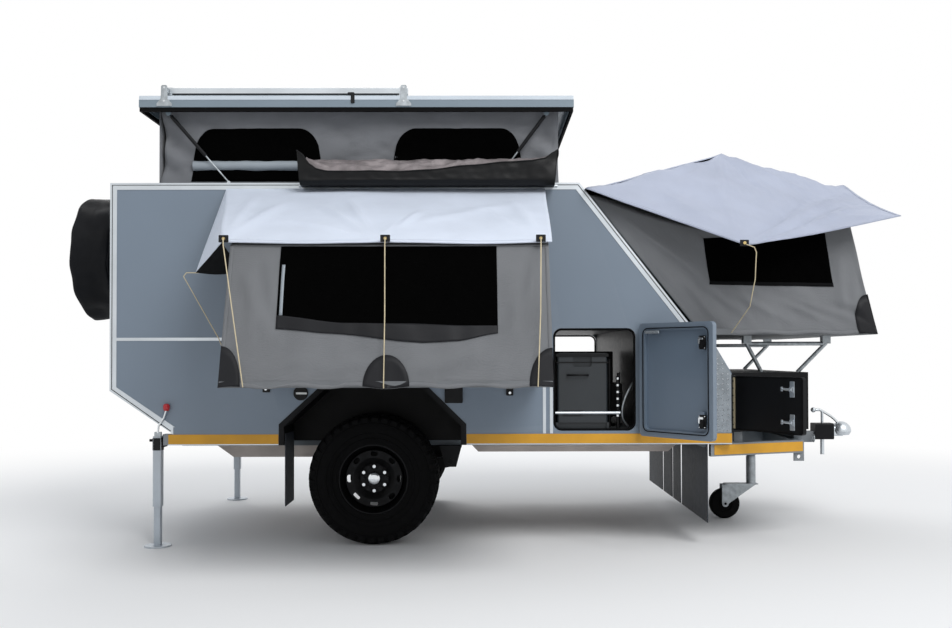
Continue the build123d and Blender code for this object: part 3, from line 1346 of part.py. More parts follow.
# Hinges that the body carries: the side bed's rod, the doors' barrels, and the gutter lugs whose
# studs face the gas struts' eyes.
entrance_hinge_x = door_front + entrance_lap + hatch_hinge_gap
with BuildPart() as hinges:
    with BuildSketch(across(pod_rear + swing_gap)):
        with Locations((-half - hinge_gap, pod_sill)):
            Circle(hinge_rod)
        with Locations((-half - leaf_thickness / 2, pod_sill - bed_leaf / 2)):
            Rectangle(leaf_thickness, bed_leaf)
    extrude(amount=side_bed_width)
    for side, s in sides:
        with BuildSketch(level(hatch_door_z)):
            with Locations((hatch_hinge_x, s * hatch_hinge_y)):
                Circle(hatch_hinge_gap - seam)
            with Locations((hatch_hinge_x + hatch_hinge_gap, s * (half + hatch_hinge_y) / 2)):
                Rectangle(hatch_hinge_gap, hatch_hinge_y - half)
        extrude(amount=hatch_door_height)
        with BuildSketch(level(nose_door_z)):
            with Locations((hinge_x, s * hinge_y)):
                Circle(nose_hinge_gap - seam)
            with Locations((hinge_x, s * hinge_y)):
                Rectangle(nose_hinge_gap, door_seal, rotation=-s * degrees(box_lean),
                          align=(Align.CENTER, Align.MAX if s > 0 else Align.MIN))
        extrude(amount=nose_door_height)
    with BuildSketch(level(door_sill - entrance_lap)):
        with Locations((entrance_hinge_x, half + door_seal)):
            Circle(hatch_hinge_gap - seam)
        with Locations((entrance_hinge_x + hinge_leaf / 2, half + leaf_thickness / 2)):
            Rectangle(hinge_leaf, leaf_thickness)
    extrude(amount=entrance_height)
    for side, s in sides:
        for name, pivot_run, anchor_run in struts:
            x = station(anchor_run)
            with BuildSketch(upright(s * plate_y)):
                with Locations((x, anchor_z)):
                    Circle(strut_eye)
                with Locations((x, (anchor_z + eaves_z - gutter_depth) / 2)):
                    Rectangle(2 * strut_eye, anchor_z - eaves_z + gutter_depth)
            extrude(amount=-s * strut_plate)
            with BuildSketch(upright(s * plate_y)):
                with Locations((x, anchor_z)):
                    Circle(strut_pin)
            extrude(amount=s * (strut_plate_gap - seam))
hinges.part.label = "hinges"
export_step(hinges.part, "parts/hinges.step")

# Kitchen and wall fittings.
fridge_x = hatch_rear + liner + fridge_width / 2 + slide_bar
fridge_y = -half + panel + fridge_depth / 2 + liner
with BuildPart() as fridge:
    with BuildSketch(level(hatch_sill + fridge_lift)):
        with Locations((fridge_x, fridge_y)):
            RectangleRounded(fridge_width, fridge_depth, slide_bar)
    extrude(amount=fridge_height)
    with BuildSketch(upright(fridge_y - fridge_depth / 2)):
        with Locations((fridge_x, hatch_sill + fridge_height)):
            RectangleRounded(handle_width, handle_height, slide_bar)
    extrude(amount=-slide_bar, mode=Mode.SUBTRACT)
    with BuildSketch(level(hatch_sill)):
        with Locations((fridge_x - fridge_width / 2, fridge_y), (fridge_x + fridge_width / 2, fridge_y)):
            Rectangle(slide_bar, fridge_depth)
        with Locations((fridge_x, fridge_y)):
            Rectangle(fridge_width, fridge_depth - 2 * liner)
    extrude(amount=fridge_lift)
fridge.part.label = "fridge"
export_step(fridge.part, "parts/fridge.step")

# Square latches under the side bed, each by its run and height.
bed_latches = ((2734.0, 927.0), (1308.0, 905.0))
with BuildPart() as wall_fittings:
    with BuildSketch(upright(-half)):
        for run, height in bed_latches:
            with Locations((station(run), ground + height)):
                RectangleRounded(bed_latch, bed_latch, bed_latch / 8)
        with Locations((station(cap_run), ground + filler_height)):
            Circle(filler_radius)
    extrude(amount=latch_depth / 2)
    with BuildSketch(upright(-half)):
        with Locations((station(vent_run), ground + vent_mid_height)):
            RectangleRounded(vent_width, vent_height, slide_bar / 2)
    extrude(amount=slide_bar)
wall_fittings.part.label = "wall_fittings"
export_step(wall_fittings.part, "parts/wall_fittings.step")

# Open bag for the rolled awning, along the eaves above the side bed.
bag_front = station(bag_front_run)
bag_rear = station(bag_rear_run)
bag_wall = -half - trim_thickness - roof_lip_width / 2
bag_z = ground + bag_bottom_height
with BuildPart() as awning_bag:
    with BuildSketch(across(bag_rear)):
        with Locations((bag_wall - bag_depth / 2, bag_z + bag_height / 2)):
            RectangleRounded(bag_depth, bag_height, bag_depth / 4)
    extrude(amount=bag_front - bag_rear)
    with BuildSketch(across(bag_rear + bag_cloth)):
        with Locations((bag_wall - bag_depth / 2, bag_z + bag_height)):
            Rectangle(bag_depth - 2 * bag_cloth, 2 * (bag_height - 2 * bag_cloth))
    extrude(amount=bag_front - bag_rear - 2 * bag_cloth, mode=Mode.SUBTRACT)
    with BuildSketch(upright(bag_wall - bag_depth + bag_depth / 4)):
        for end, toward in ((bag_rear, 1), (bag_front, -1)):
            Polygon((end, bag_z + bag_height / 2), (end, bag_z + bag_height + bag_tip),
                    (end + toward * bag_tip_run, bag_z + bag_height / 2), align=None)
    extrude(amount=-bag_cloth)
    with BuildSketch(across(bag_rear)):
        with Locations((fly_wall, bag_z)):
            Rectangle(fly_wall - bag_wall + bag_depth / 4, bag_hem, align=(Align.MAX, Align.MIN))
    extrude(amount=bag_front - bag_rear)
awning_bag.part.label = "awning_bag"
export_step(awning_bag.part, "parts/awning_bag.step")
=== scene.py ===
from math import atan2, cos, exp, hypot, pi, radians, sin

import bmesh
import bpy
from mathutils import Matrix, Vector, noise


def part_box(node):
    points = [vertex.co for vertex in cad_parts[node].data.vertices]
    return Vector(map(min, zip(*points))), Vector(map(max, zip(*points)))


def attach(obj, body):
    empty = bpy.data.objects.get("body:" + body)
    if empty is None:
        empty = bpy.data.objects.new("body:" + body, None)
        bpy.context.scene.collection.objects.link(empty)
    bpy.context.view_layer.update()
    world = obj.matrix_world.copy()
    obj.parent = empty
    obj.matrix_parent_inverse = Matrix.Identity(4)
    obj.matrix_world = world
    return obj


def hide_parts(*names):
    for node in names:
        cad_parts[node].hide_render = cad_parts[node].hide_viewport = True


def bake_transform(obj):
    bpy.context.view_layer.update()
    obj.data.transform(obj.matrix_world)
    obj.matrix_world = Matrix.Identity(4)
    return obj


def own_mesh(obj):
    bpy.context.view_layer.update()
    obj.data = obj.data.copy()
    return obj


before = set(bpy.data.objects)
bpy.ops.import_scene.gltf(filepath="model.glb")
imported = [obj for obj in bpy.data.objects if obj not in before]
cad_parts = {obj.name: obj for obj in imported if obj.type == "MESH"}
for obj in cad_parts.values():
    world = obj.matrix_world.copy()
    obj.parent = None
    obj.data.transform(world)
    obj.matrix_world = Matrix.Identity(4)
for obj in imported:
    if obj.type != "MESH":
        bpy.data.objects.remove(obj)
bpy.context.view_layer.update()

# Named sizes, in metres. The frame's own boxes give the rest.
CLOTH = 0.0025
HEM_WIDTH = 0.03
HEM_LIFT = 0.002
PATCH_LIFT = 0.003
FLAP_LIFT = 0.005
PANE = 0.001
ROD_RADIUS = 0.0028
GROUND = -0.595

FORWARD, UP = Vector((1, 0, 0)), Vector((0, 0, 1))
SIDES = (("right", -1), ("left", 1))


def lerp(a, b, t):
    return a + (b - a) * t


def ease(t):
    """Smooth step from 0 to 1."""
    t = min(max(t, 0.0), 1.0)
    return t * t * (3 - 2 * t)


def hump(t):
    """0 at both ends and 1 halfway."""
    return sin(pi * min(max(t, 0.0), 1.0))


def along_table(table, u):
    """Value of a table of (u, value) at u, smooth between its rows."""
    for (u0, a), (u1, b) in zip(table, table[1:]):
        if u <= u1:
            return lerp(a, b, ease((u - u0) / (u1 - u0)) * 0.5 + 0.5 * (u - u0) / (u1 - u0))
    return table[-1][1]


def ruffle(point, size, depth, seed=0.0):
    """Small uneven rise of cloth at a point, the same each run."""
    return depth * noise.noise(Vector(point) / size + Vector((seed, -seed, 2 * seed)))


def crease(u, v, folds):
    """Height of a table of folds at (u, v): start u, v, end u, v, width and height."""
    rise = 0.0
    for u0, v0, u1, v1, width, height in folds:
        du, dv = u1 - u0, v1 - v0
        t = ((u - u0) * du + (v - v0) * dv) / (du * du + dv * dv)
        away = hypot(u - u0 - du * min(max(t, 0), 1), v - v0 - dv * min(max(t, 0), 1))
        rise += height * exp(-(away / width) ** 2) * ease(1.25 - abs(2 * t - 1))
    return rise


# Materials. Each has its own colour variation, roughness variation and bump.
def surface(name, colour, roughness=0.5, metallic=0.0, mottle=0.12, mottle_size=0.25, grain=0.1,
            grain_size=0.004, weave=0.0, weave_size=0.0025, wear=0.0, wear_colour=(0.5, 0.5, 0.5),
            coat=0.0, sheen=0.0, streak=None, shine=0.5):
    """A procedural material: mottled colour, uneven roughness, grain or weave in the bump, worn edges."""
    material = bpy.data.materials.new(name)
    material.use_nodes = True
    nodes, links = material.node_tree.nodes, material.node_tree.links
    shader = nodes["Principled BSDF"]
    shader.inputs["Metallic"].default_value = metallic
    shader.inputs["Coat Weight"].default_value = coat
    shader.inputs["Specular IOR Level"].default_value = shine
    shader.inputs["Sheen Weight"].default_value = sheen
    place = nodes.new("ShaderNodeTexCoord").outputs["Object"]
    if streak:
        stretch = nodes.new("ShaderNodeMapping")
        stretch.inputs["Scale"].default_value = streak
        links.new(place, stretch.inputs["Vector"])
        place = stretch.outputs["Vector"]

    def clouds(size, detail=4.0):
        texture = nodes.new("ShaderNodeTexNoise")
        texture.inputs["Scale"].default_value = 1 / size
        texture.inputs["Detail"].default_value = detail
        links.new(place, texture.inputs["Vector"])
        return texture.outputs["Fac"]

    shade = nodes.new("ShaderNodeValToRGB")
    low, high = shade.color_ramp.elements
    low.position, high.position = 0.3, 0.7
    low.color = (*[c * (1 - mottle) for c in colour], 1)
    high.color = (*[min(c * (1 + mottle), 1) for c in colour], 1)
    patches = clouds(mottle_size)
    links.new(patches, shade.inputs["Fac"])
    tone = shade.outputs["Color"]
    if wear:
        edge = nodes.new("ShaderNodeNewGeometry").outputs["Pointiness"]
        rim = nodes.new("ShaderNodeMapRange")
        rim.inputs["From Min"].default_value = 0.52
        rim.inputs["From Max"].default_value = 0.62
        rim.inputs["To Max"].default_value = wear
        links.new(edge, rim.inputs["Value"])
        worn = nodes.new("ShaderNodeMix")
        worn.data_type = "RGBA"
        worn.inputs["B"].default_value = (*wear_colour, 1)
        links.new(rim.outputs["Result"], worn.inputs["Factor"])
        links.new(tone, worn.inputs["A"])
        tone = worn.outputs["Result"]
    links.new(tone, shader.inputs["Base Color"])
    matt = nodes.new("ShaderNodeMapRange")
    matt.inputs["To Min"].default_value = max(roughness - 0.08, 0.02)
    matt.inputs["To Max"].default_value = min(roughness + 0.1, 1.0)
    links.new(clouds(mottle_size / 3), matt.inputs["Value"])
    links.new(matt.outputs["Result"], shader.inputs["Roughness"])

    bump = nodes.new("ShaderNodeBump")
    bump.inputs["Strength"].default_value = grain
    bump.inputs["Distance"].default_value = grain_size
    links.new(clouds(grain_size, 2.0), bump.inputs["Height"])
    if weave:
        threads = None
        for direction in ("X", "Y", "Z"):
            wave = nodes.new("ShaderNodeTexWave")
            wave.bands_direction = direction
            wave.inputs["Scale"].default_value = 0.3 / weave_size
            wave.inputs["Distortion"].default_value = 0.4
            links.new(place, wave.inputs["Vector"])
            if threads is None:
                threads = wave.outputs["Fac"]
            else:
                join = nodes.new("ShaderNodeMath")
                join.operation = "ADD"
                links.new(threads, join.inputs[0])
                links.new(wave.outputs["Fac"], join.inputs[1])
                threads = join.outputs["Value"]
        cloth_bump = nodes.new("ShaderNodeBump")
        cloth_bump.inputs["Strength"].default_value = weave
        cloth_bump.inputs["Distance"].default_value = weave_size / 2
        links.new(threads, cloth_bump.inputs["Height"])
        links.new(bump.outputs["Normal"], cloth_bump.inputs["Normal"])
        bump = cloth_bump
    links.new(bump.outputs["Normal"], shader.inputs["Normal"])
    return material


def rgb(code):
    """Linear colour from a six-digit sRGB code."""
    parts = [int(code[i:i + 2], 16) / 255 for i in (0, 2, 4)]
    return tuple(p / 12.92 if p <= 0.04045 else ((p + 0.055) / 1.055) ** 2.4 for p in parts)


slate = surface("slate_paint", rgb("677686"), 0.42, mottle=0.05, mottle_size=0.6, grain=0.06,
                grain_size=0.003, coat=0.12, wear=0.25, wear_colour=rgb("9aa2aa"))
roof_paint = surface("roof_paint", rgb("77858f"), 0.38, mottle=0.04, mottle_size=0.5, grain=0.05, coat=0.2)
aluminium = surface("aluminium", rgb("c9cfd4"), 0.34, 0.85, mottle=0.08, grain=0.12, grain_size=0.0015)
galvanised = surface("galvanised_steel", rgb("a6acb0"), 0.48, 0.75, mottle=0.22, mottle_size=0.03, grain=0.1)
chassis_paint = surface("chassis_paint", rgb("59636b"), 0.5, mottle=0.1, grain=0.12, wear=0.3)
yellow_paint = surface("yellow_paint", rgb("cf9722"), 0.45, mottle=0.08, mottle_size=0.12, grain=0.06)
black_steel = surface("black_steel", rgb("050506"), 0.45, 0.2, mottle=0.25, grain=0.15, wear=0.12, shine=0.15,
                      wear_colour=rgb("4a4c50"))
black_plastic = surface("black_plastic", rgb("0b0c0e"), 0.5, mottle=0.15, grain=0.25, grain_size=0.0015,
                        shine=0.25)
chrome = surface("chrome", rgb("d9dde0"), 0.14, 1.0, mottle=0.05, grain=0.03)
rubber = surface("tyre_rubber", rgb("050506"), 0.78, mottle=0.3, mottle_size=0.05, grain=0.3, grain_size=0.002,
                 shine=0.12)
flap_rubber = surface("flap_rubber", rgb("1b212a"), 0.62, mottle=0.25, mottle_size=0.12, grain=0.2)
canvas = surface("canvas", rgb("747679"), 0.88, mottle=0.07, mottle_size=0.3, grain=0.2, weave=0.5, sheen=0.15)
skirt_canvas = surface("skirt_canvas", rgb("74767a"), 0.9, mottle=0.08, mottle_size=0.2, grain=0.2, weave=0.5,
                       sheen=0.15)
fly_cloth = surface("fly_cloth", rgb("d6deec"), 0.5, 0.1, mottle=0.05, mottle_size=0.3, grain=0.15, weave=0.35)
silver_cloth = surface("silver_fly_cloth", rgb("abb2c4"), 0.52, 0.12, mottle=0.06, mottle_size=0.3, grain=0.15,
                       weave=0.35)
lining = surface("black_lining", rgb("08090b"), 0.8, mottle=0.2, grain=0.2, weave=0.4, shine=0.1)
window_mesh = surface("window_mesh", rgb("010101"), 0.85, mottle=0.3, mottle_size=0.1, grain=0.2, weave=0.9,
                      weave_size=0.002, shine=0.03)
patch_vinyl = surface("patch_vinyl", rgb("121317"), 0.55, mottle=0.2, grain=0.3, grain_size=0.002, shine=0.25)
bag_vinyl = surface("bag_vinyl", rgb("060709"), 0.42, mottle=0.25, mottle_size=0.1, grain=0.2, shine=0.22)
awning_cloth = surface("awning_cloth", rgb("7b7475"), 0.4, 0.25, mottle=0.3, mottle_size=0.06, grain=0.2,
                       weave=0.3)
cover_cloth = surface("cover_cloth", rgb("0b0d11"), 0.6, mottle=0.3, mottle_size=0.15, grain=0.25, weave=0.3,
                      shine=0.15)
mattress_cloth = surface("mattress_cloth", rgb("6f7780"), 0.9, mottle=0.1, grain=0.2, weave=0.5, sheen=0.2)
cream_rod = surface("cream_rod", rgb("cbbd9c"), 0.5, mottle=0.12, mottle_size=0.05, grain=0.1)
plywood = surface("bed_board", rgb("6a6d70"), 0.7, mottle=0.15, mottle_size=0.2, grain=0.2, streak=(1, 6, 1))
liner_plastic = surface("liner_plastic", rgb("8f979e"), 0.45, mottle=0.05, grain=0.1)
cooler_plastic = surface("cooler_plastic", rgb("22272b"), 0.45, mottle=0.15, grain=0.2, grain_size=0.002)
white_plastic = surface("white_plastic", rgb("dcdedd"), 0.4, mottle=0.05, grain=0.08)
tray_metal = surface("tray_metal", rgb("b5ada8"), 0.5, 0.35, mottle=0.12, mottle_size=0.2, grain=0.15)
tread_plate = surface("tread_plate", rgb("c8ccd0"), 0.3, 0.85, mottle=0.1, grain=0.1)
tread_base = surface("tread_base", rgb("8c9399"), 0.4, 0.7, mottle=0.15, mottle_size=0.05, grain=0.1)
red_knob = surface("red_knob", rgb("b3202a"), 0.35, mottle=0.08, grain=0.05)
liner_black = surface("liner_black", rgb("060607"), 0.4, mottle=0.2, mottle_size=0.1, grain=0.15, shine=0.12)
brown_edge = surface("lid_edge", rgb("8a7466"), 0.5, mottle=0.2, mottle_size=0.05, grain=0.1)
# Pale paint for the strip along the roof's upper edge: painted highlight where the edge catches the light from above.
roof_highlight_paint = surface("roof_highlight_paint", rgb("c9d2da"), 0.3, 0.1, mottle=0.06, mottle_size=0.3, grain=0.05, coat=0.3)
leg_paint = surface("leg_paint", rgb("b2bac2"), 0.42, 0.3, mottle=0.06, mottle_size=0.1, grain=0.06, wear=0.2)
brass = surface("brass", rgb("c9b27a"), 0.3, 0.9, mottle=0.1, grain=0.05)

node_finish = {
    slate: ["side_wall_left", "side_wall_right", "rear_wall", "nose_panel", "hatch_door_left",
            "hatch_door_right", "entrance_door"],
    roof_paint: ["roof_panel"],
    aluminium: ["edge_trims", "roof_rack", "hinges", "coupling_head", "roof_rim"],
    leg_paint: ["rear_leg_left", "rear_leg_right"],
    galvanised: ["bed_support", "jockey_leg", "spare_bracket", "strut_rod_front", "strut_rod_rear"],
    chassis_paint: ["chassis_frame", "drawbar"],
    black_steel: ["suspension_arm_left", "suspension_arm_right", "coil_springs", "chassis_brackets",
                  "wheel_arch_left", "wheel_arch_right", "rim_left", "rim_right", "hub_left", "hub_right",
                  "nose_box", "nose_door_left", "nose_door_right", "strut_cylinder_front",
                  "strut_cylinder_rear", "coupling_block"],
    rubber: ["roof_seal", "jockey_wheel", "tyre_left", "tyre_right"],
    flap_rubber: ["rubber_flaps"],
    black_plastic: ["wall_fittings"],
    plywood: ["side_bed", "front_bed", "floor_panel"],
    liner_black: ["kitchen_liner"],
    cooler_plastic: ["fridge"],
    white_plastic: ["vent_lid"],
    tray_metal: ["under_trays"],
}
for finish, names in node_finish.items():
    for name in names:
        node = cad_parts[name]
        node.data.materials.clear()
        node.data.materials.append(finish)


# Makers of pieces.
def shown(name, mesh, finishes, body=None, smooth=True):
    """A new object from a mesh, with its materials, riding on a body."""
    for finish in finishes if isinstance(finishes, (list, tuple)) else [finishes]:
        mesh.materials.append(finish)
    mesh.polygons.foreach_set("use_smooth", [smooth] * len(mesh.polygons))
    obj = bpy.data.objects.new(name, mesh)
    bpy.context.scene.collection.objects.link(obj)
    if body:
        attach(obj, body)
    return obj


def set_in(mesh, turn):
    """Moves a mesh made in its own axes into place, its faces still outward in a mirrored set of axes."""
    if turn is not None:
        mesh.transform(turn)
        if turn.determinant() < 0:
            mesh.flip_normals()


def axes(origin, along, up, out):
    """Matrix of a local set of axes at an origin."""
    matrix = Matrix((along, up, out)).transposed().to_4x4()
    matrix.translation = origin
    return matrix


def solid(name, points, faces, finishes, body=None, smooth=True, flip=False):
    """A mesh piece from points and faces."""
    mesh = bpy.data.meshes.new(name)
    mesh.from_pydata([tuple(p) for p in points], [], [f[::-1] for f in faces] if flip else faces)
    mesh.update()
    return shown(name, mesh, finishes, body, smooth)


def thicken(obj, thickness, inner=0):
    """Gives a surface its thickness, on the side away from its normals."""
    modifier = obj.modifiers.new("thickness", "SOLIDIFY")
    modifier.thickness = thickness
    modifier.offset = -1.0
    modifier.material_offset = inner
    return obj


def grid_faces(across, along):
    """Quads over rows of across + 1 points, along + 1 rows."""
    row = across + 1
    return [(j * row + i, j * row + i + 1, (j + 1) * row + i + 1, (j + 1) * row + i)
            for j in range(along) for i in range(across)]


def laid(name, place, across, along, finishes, body=None, thickness=CLOTH, inner=0, flip=False):
    """A cloth laid over place(u, v), which gives a point for u and v from 0 to 1."""
    points = [place(i / across, j / along) for j in range(along + 1) for i in range(across + 1)]
    obj = solid(name, points, grid_faces(across, along), finishes, body, flip=flip)
    return thicken(obj, thickness, inner)


def lifted(place, lift, step=0.002):
    """The same surface, raised along its normal."""
    def raised(u, v):
        here = place(u, v)
        du = place(min(u + step, 1), v) - place(max(u - step, 0), v)
        dv = place(u, min(v + step, 1)) - place(u, max(v - step, 0))
        return here + du.cross(dv).normalized() * lift
    return raised


def part_of(place, u0, u1, v0, v1):
    """The piece of a surface between two values of u and two of v."""
    return lambda u, v: place(lerp(u0, u1, u), lerp(v0, v1, v))


def bars(name, paths, radius, finish, body=None, round_path=False, closed=False, turn=None):
    """Round bars along lists of points, as one mesh."""
    curve = bpy.data.curves.new(name, "CURVE")
    curve.dimensions = "3D"
    curve.bevel_depth = radius
    curve.bevel_resolution = 3
    curve.use_fill_caps = True
    for path in paths:
        spline = curve.splines.new("NURBS" if round_path else "POLY")
        spline.points.add(len(path) - 1)
        for point, place in zip(spline.points, path):
            point.co = (*place, 1)
        spline.use_cyclic_u = closed
        if round_path:
            spline.order_u = 3
            spline.use_endpoint_u = not closed
    source = bpy.data.objects.new(name + "_line", curve)
    mesh = bpy.data.meshes.new_from_object(source)
    bpy.data.objects.remove(source)
    mesh.materials.clear()
    set_in(mesh, turn)
    return shown(name, mesh, finish, body)


def from_bmesh(name, made, finish, body, turn):
    """A flat-shaded piece from a finished bmesh, set in its place."""
    mesh = bpy.data.meshes.new(name)
    made.to_mesh(mesh)
    made.free()
    set_in(mesh, turn)
    return shown(name, mesh, finish, body, smooth=False)


def blocks(name, places, finish, body=None, bevel=0.002, turn=None):
    """Bevelled blocks, each as its centre and its three sizes, as one mesh."""
    made = bmesh.new()
    for centre, sizes in places:
        place = Matrix.Translation(centre) @ Matrix.Diagonal((*sizes, 1))
        cube = bmesh.ops.create_cube(made, size=1, matrix=place)
        edges = {e for v in cube["verts"] for e in v.link_edges}
        bmesh.ops.bevel(made, geom=list(edges), offset=min(bevel, min(sizes) / 3), segments=2, affect="EDGES")
    return from_bmesh(name, made, finish, body, turn)


def discs(name, places, radius, depth, finish, body=None, sides=20, axis=(0, 1, 0), dome=0.25, turn=None):
    """Low round heads, each at a centre, standing along an axis, as one mesh."""
    stand = UP.rotation_difference(Vector(axis)).to_matrix().to_4x4()
    made = bmesh.new()
    for centre in places:
        bmesh.ops.create_cone(made, cap_ends=True, segments=sides, radius1=radius, radius2=radius * (1 - dome),
                              depth=depth, matrix=Matrix.Translation(centre) @ stand)
    return from_bmesh(name, made, finish, body, turn)


def plates(name, outlines, thickness, finish, body=None, turn=None, bevel=0.001):
    """Flat plates from outlines of (along, up), standing out from the local plane by their thickness."""
    made = bmesh.new()
    for outline in outlines:
        face = made.faces.new([made.verts.new((a, b, 0)) for a, b in outline])
        risen = bmesh.ops.extrude_face_region(made, geom=[face])
        top = [part for part in risen["geom"] if isinstance(part, bmesh.types.BMVert)]
        bmesh.ops.translate(made, vec=(0, 0, thickness), verts=top)
    bmesh.ops.recalc_face_normals(made, faces=made.faces)
    bmesh.ops.bevel(made, geom=made.edges[:], offset=bevel, segments=1, affect="EDGES")
    return from_bmesh(name, made, finish, body, turn)


def turned(name, profile, centre, axis, finish, body=None, steps=96, smooth=True):
    """A profile of (radius, distance along the axis) turned about the axis through centre."""
    along = Vector(axis).normalized()
    side = along.orthogonal().normalized()
    other = along.cross(side)
    centre = Vector(centre)
    points = [centre + along * d + (side * cos(2 * pi * i / steps) + other * sin(2 * pi * i / steps)) * r
              for i in range(steps) for r, d in profile]
    n = len(profile)
    faces = [(i * n + j, i * n + j + 1, (i + 1) % steps * n + j + 1, (i + 1) % steps * n + j)
             for i in range(steps) for j in range(n - 1)]
    return solid(name, points, faces, finish, body, smooth)


# Side tent: one sheet round three sides over the bed, and a roof under the fly.
bed_low, bed_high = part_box("side_bed")
tent_low, tent_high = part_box("side_tent")
wall_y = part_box("side_wall_right")[0].y
SIDE_FRONT_TOP = Vector((-2.150, -1.925, 1.062))
SIDE_REAR_TOP = Vector((-3.708, -1.925, 1.062))
side_rear_x, side_front_x = bed_low.x - 0.004, bed_high.x + 0.004
SIDE_PARTS = (0.30, 0.70)

# Folds of the front wall, as start u and v, end u and v, width and height. v is 0 at the foot.
side_folds = [
    (0.02, 0.95, 0.15, 0.30, 0.022, 0.024), (0.07, 0.98, 0.09, 0.25, 0.014, 0.020),
    (0.12, 0.98, 0.15, 0.50, 0.012, 0.014), (0.98, 0.95, 0.86, 0.30, 0.022, 0.028),
    (0.93, 0.98, 0.90, 0.35, 0.014, -0.026), (0.955, 0.98, 0.94, 0.20, 0.010, 0.022),
    (0.99, 0.80, 0.95, 0.10, 0.016, 0.020), (0.30, 0.10, 0.45, 0.20, 0.05, 0.014),
    (0.55, 0.08, 0.78, 0.24, 0.05, 0.018), (0.10, 0.08, 0.28, 0.22, 0.04, 0.014),
]


def side_front(u, v):
    """Front wall of the side tent: u from the rear end to the front end, v from the foot up."""
    foot = Vector((lerp(side_rear_x, side_front_x, u), tent_low.y + 0.004, tent_low.z))
    head = SIDE_REAR_TOP.lerp(SIDE_FRONT_TOP, u)
    point = foot.lerp(head, v)
    free = hump(u) ** 0.4 * hump(0.04 + 0.92 * v) ** 0.5
    rise = crease(u, v, side_folds)
    rise += ruffle((u * 3, v, 0), 0.35, 0.014) + ruffle((u * 9, v * 2, 1), 0.5, 0.008)
    belly = 0.012 * hump(v * 1.4) * (1 - v)
    point.y -= (rise + belly) * free
    point.z += 0.006 * sin(11 * pi * u) * (1 - v) ** 6
    return point


def side_end(x_foot, x_head, seed):
    """End wall of the side tent: u from the trailer's wall out to the front, v from the foot up."""
    def place(u, v):
        foot = Vector((x_foot, lerp(wall_y - 0.004, tent_low.y + 0.004, u), tent_low.z))
        head = Vector((lerp(x_foot, x_head, u), lerp(wall_y - 0.004, SIDE_REAR_TOP.y, u),
                       lerp(tent_high.z - 0.02, SIDE_REAR_TOP.z, u)))
        point = foot.lerp(head, v)
        free = hump(u) ** 0.5 * hump(0.02 + 0.96 * v) ** 0.5
        point.x += (ruffle((u, v, seed), 0.3, 0.012, seed) + 0.008 * sin(5 * pi * (u + 0.4 * v))) * free
        return point
    return place


side_rear_end = side_end(side_rear_x, SIDE_REAR_TOP.x, 3)
side_front_end = side_end(side_front_x, SIDE_FRONT_TOP.x, 5)


def side_walls(u, v):
    """The three walls as one surface: rear end, front wall, front end."""
    a, b = SIDE_PARTS
    if u < a:
        return side_rear_end(u / a, v)
    if u > b:
        return side_front_end((1 - u) / (1 - b), v)
    return side_front((u - a) / (b - a), v)


def side_roof(u, v):
    """Tent roof under the fly: u along the trailer, v from the wall out."""
    inner = Vector((lerp(side_rear_x, side_front_x, u), wall_y - 0.004, tent_high.z - 0.02))
    outer = SIDE_REAR_TOP.lerp(SIDE_FRONT_TOP, u)
    point = inner.lerp(outer, v)
    point.z -= 0.015 * hump(v) * hump(u)
    return point


def folds_with_side_bed(obj):
    """Cloth between the trailer and the side bed."""
    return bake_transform(obj)


side_tent = laid("side_tent_walls", side_walls, 200, 48, canvas)
side_tent_roof = laid("side_tent_roof", side_roof, 40, 16, canvas, "trailer")
folds_with_side_bed(side_tent)
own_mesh(side_tent_roof)
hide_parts("side_tent")


def band(name, place, u0, u1, v0, v1, finish, lift=PATCH_LIFT, steps=(40, 12)):
    """A flat strip or pane sewn onto a surface."""
    return laid(name, part_of(lifted(place, lift), u0, u1, v0, v1), *steps, finish, None, PANE)


def fan(name, place, centre, radii, start, end, finish, lift=PATCH_LIFT):
    """A rounded patch on a surface: a sector of an ellipse in u and v, from one angle to another."""
    raised = lifted(place, lift)
    rings, spokes = 5, 20

    def point(i, j):
        angle = lerp(start, end, i / spokes)
        u = centre[0] + radii[0] * cos(angle) * j / rings
        v = centre[1] + radii[1] * sin(angle) * j / rings
        return raised(min(max(u, 0), 1), min(max(v, 0), 1))
    points = [point(i, j) for j in range(rings + 1) for i in range(spokes + 1)]
    return thicken(solid(name, points, grid_faces(spokes, rings), finish), PANE)


window_foot = [(0.0, 0.405), (0.25, 0.372), (0.66, 0.305), (0.82, 0.318), (1.0, 0.372)]
band_head = [(0.0, 0.50), (0.3, 0.445), (0.6, 0.44), (0.85, 0.425), (1.0, 0.425)]
WINDOW_ENDS = (0.160, 0.836)


def window_part(low, high, lift):
    """Part of the window between two tables of heights."""
    raised = lifted(side_front, lift)
    return lambda u, v: raised(lerp(*WINDOW_ENDS, u), lerp(along_table(low, u), along_table(high, u), v))


side_details = [
    laid("side_tent_window", window_part(window_foot, [(0.0, 0.995), (1.0, 0.995)], PATCH_LIFT), 90, 30,
         window_mesh, None, PANE),
    laid("side_tent_window_flap", window_part(window_foot, band_head, FLAP_LIFT), 90, 8, patch_vinyl, None, 0.0015),
    band("side_tent_window_gap", side_front, 0.168, 0.178, 0.50, 0.86, liner_plastic, FLAP_LIFT, (2, 16)),
    fan("side_tent_patch_rear", side_front, (0, 0), (0.066, 0.285), 0, pi / 2, patch_vinyl),
    fan("side_tent_patch_front", side_front, (1, 0), (0.072, 0.27), pi / 2, pi, patch_vinyl),
    fan("side_tent_patch_middle", side_front, (0.500, 0), (0.070, 0.225), 0, pi, patch_vinyl),
    band("side_tent_hem", side_front, 0, 1, 0, HEM_WIDTH, canvas, HEM_LIFT, (80, 2)),
    band("side_tent_seam_rear", side_front, 0, 0.012, 0, 1, canvas, HEM_LIFT, (2, 40)),
    band("side_tent_seam_front", side_front, 0.988, 1, 0, 1, canvas, HEM_LIFT, (2, 40)),
]
for piece in side_details:
    folds_with_side_bed(piece)

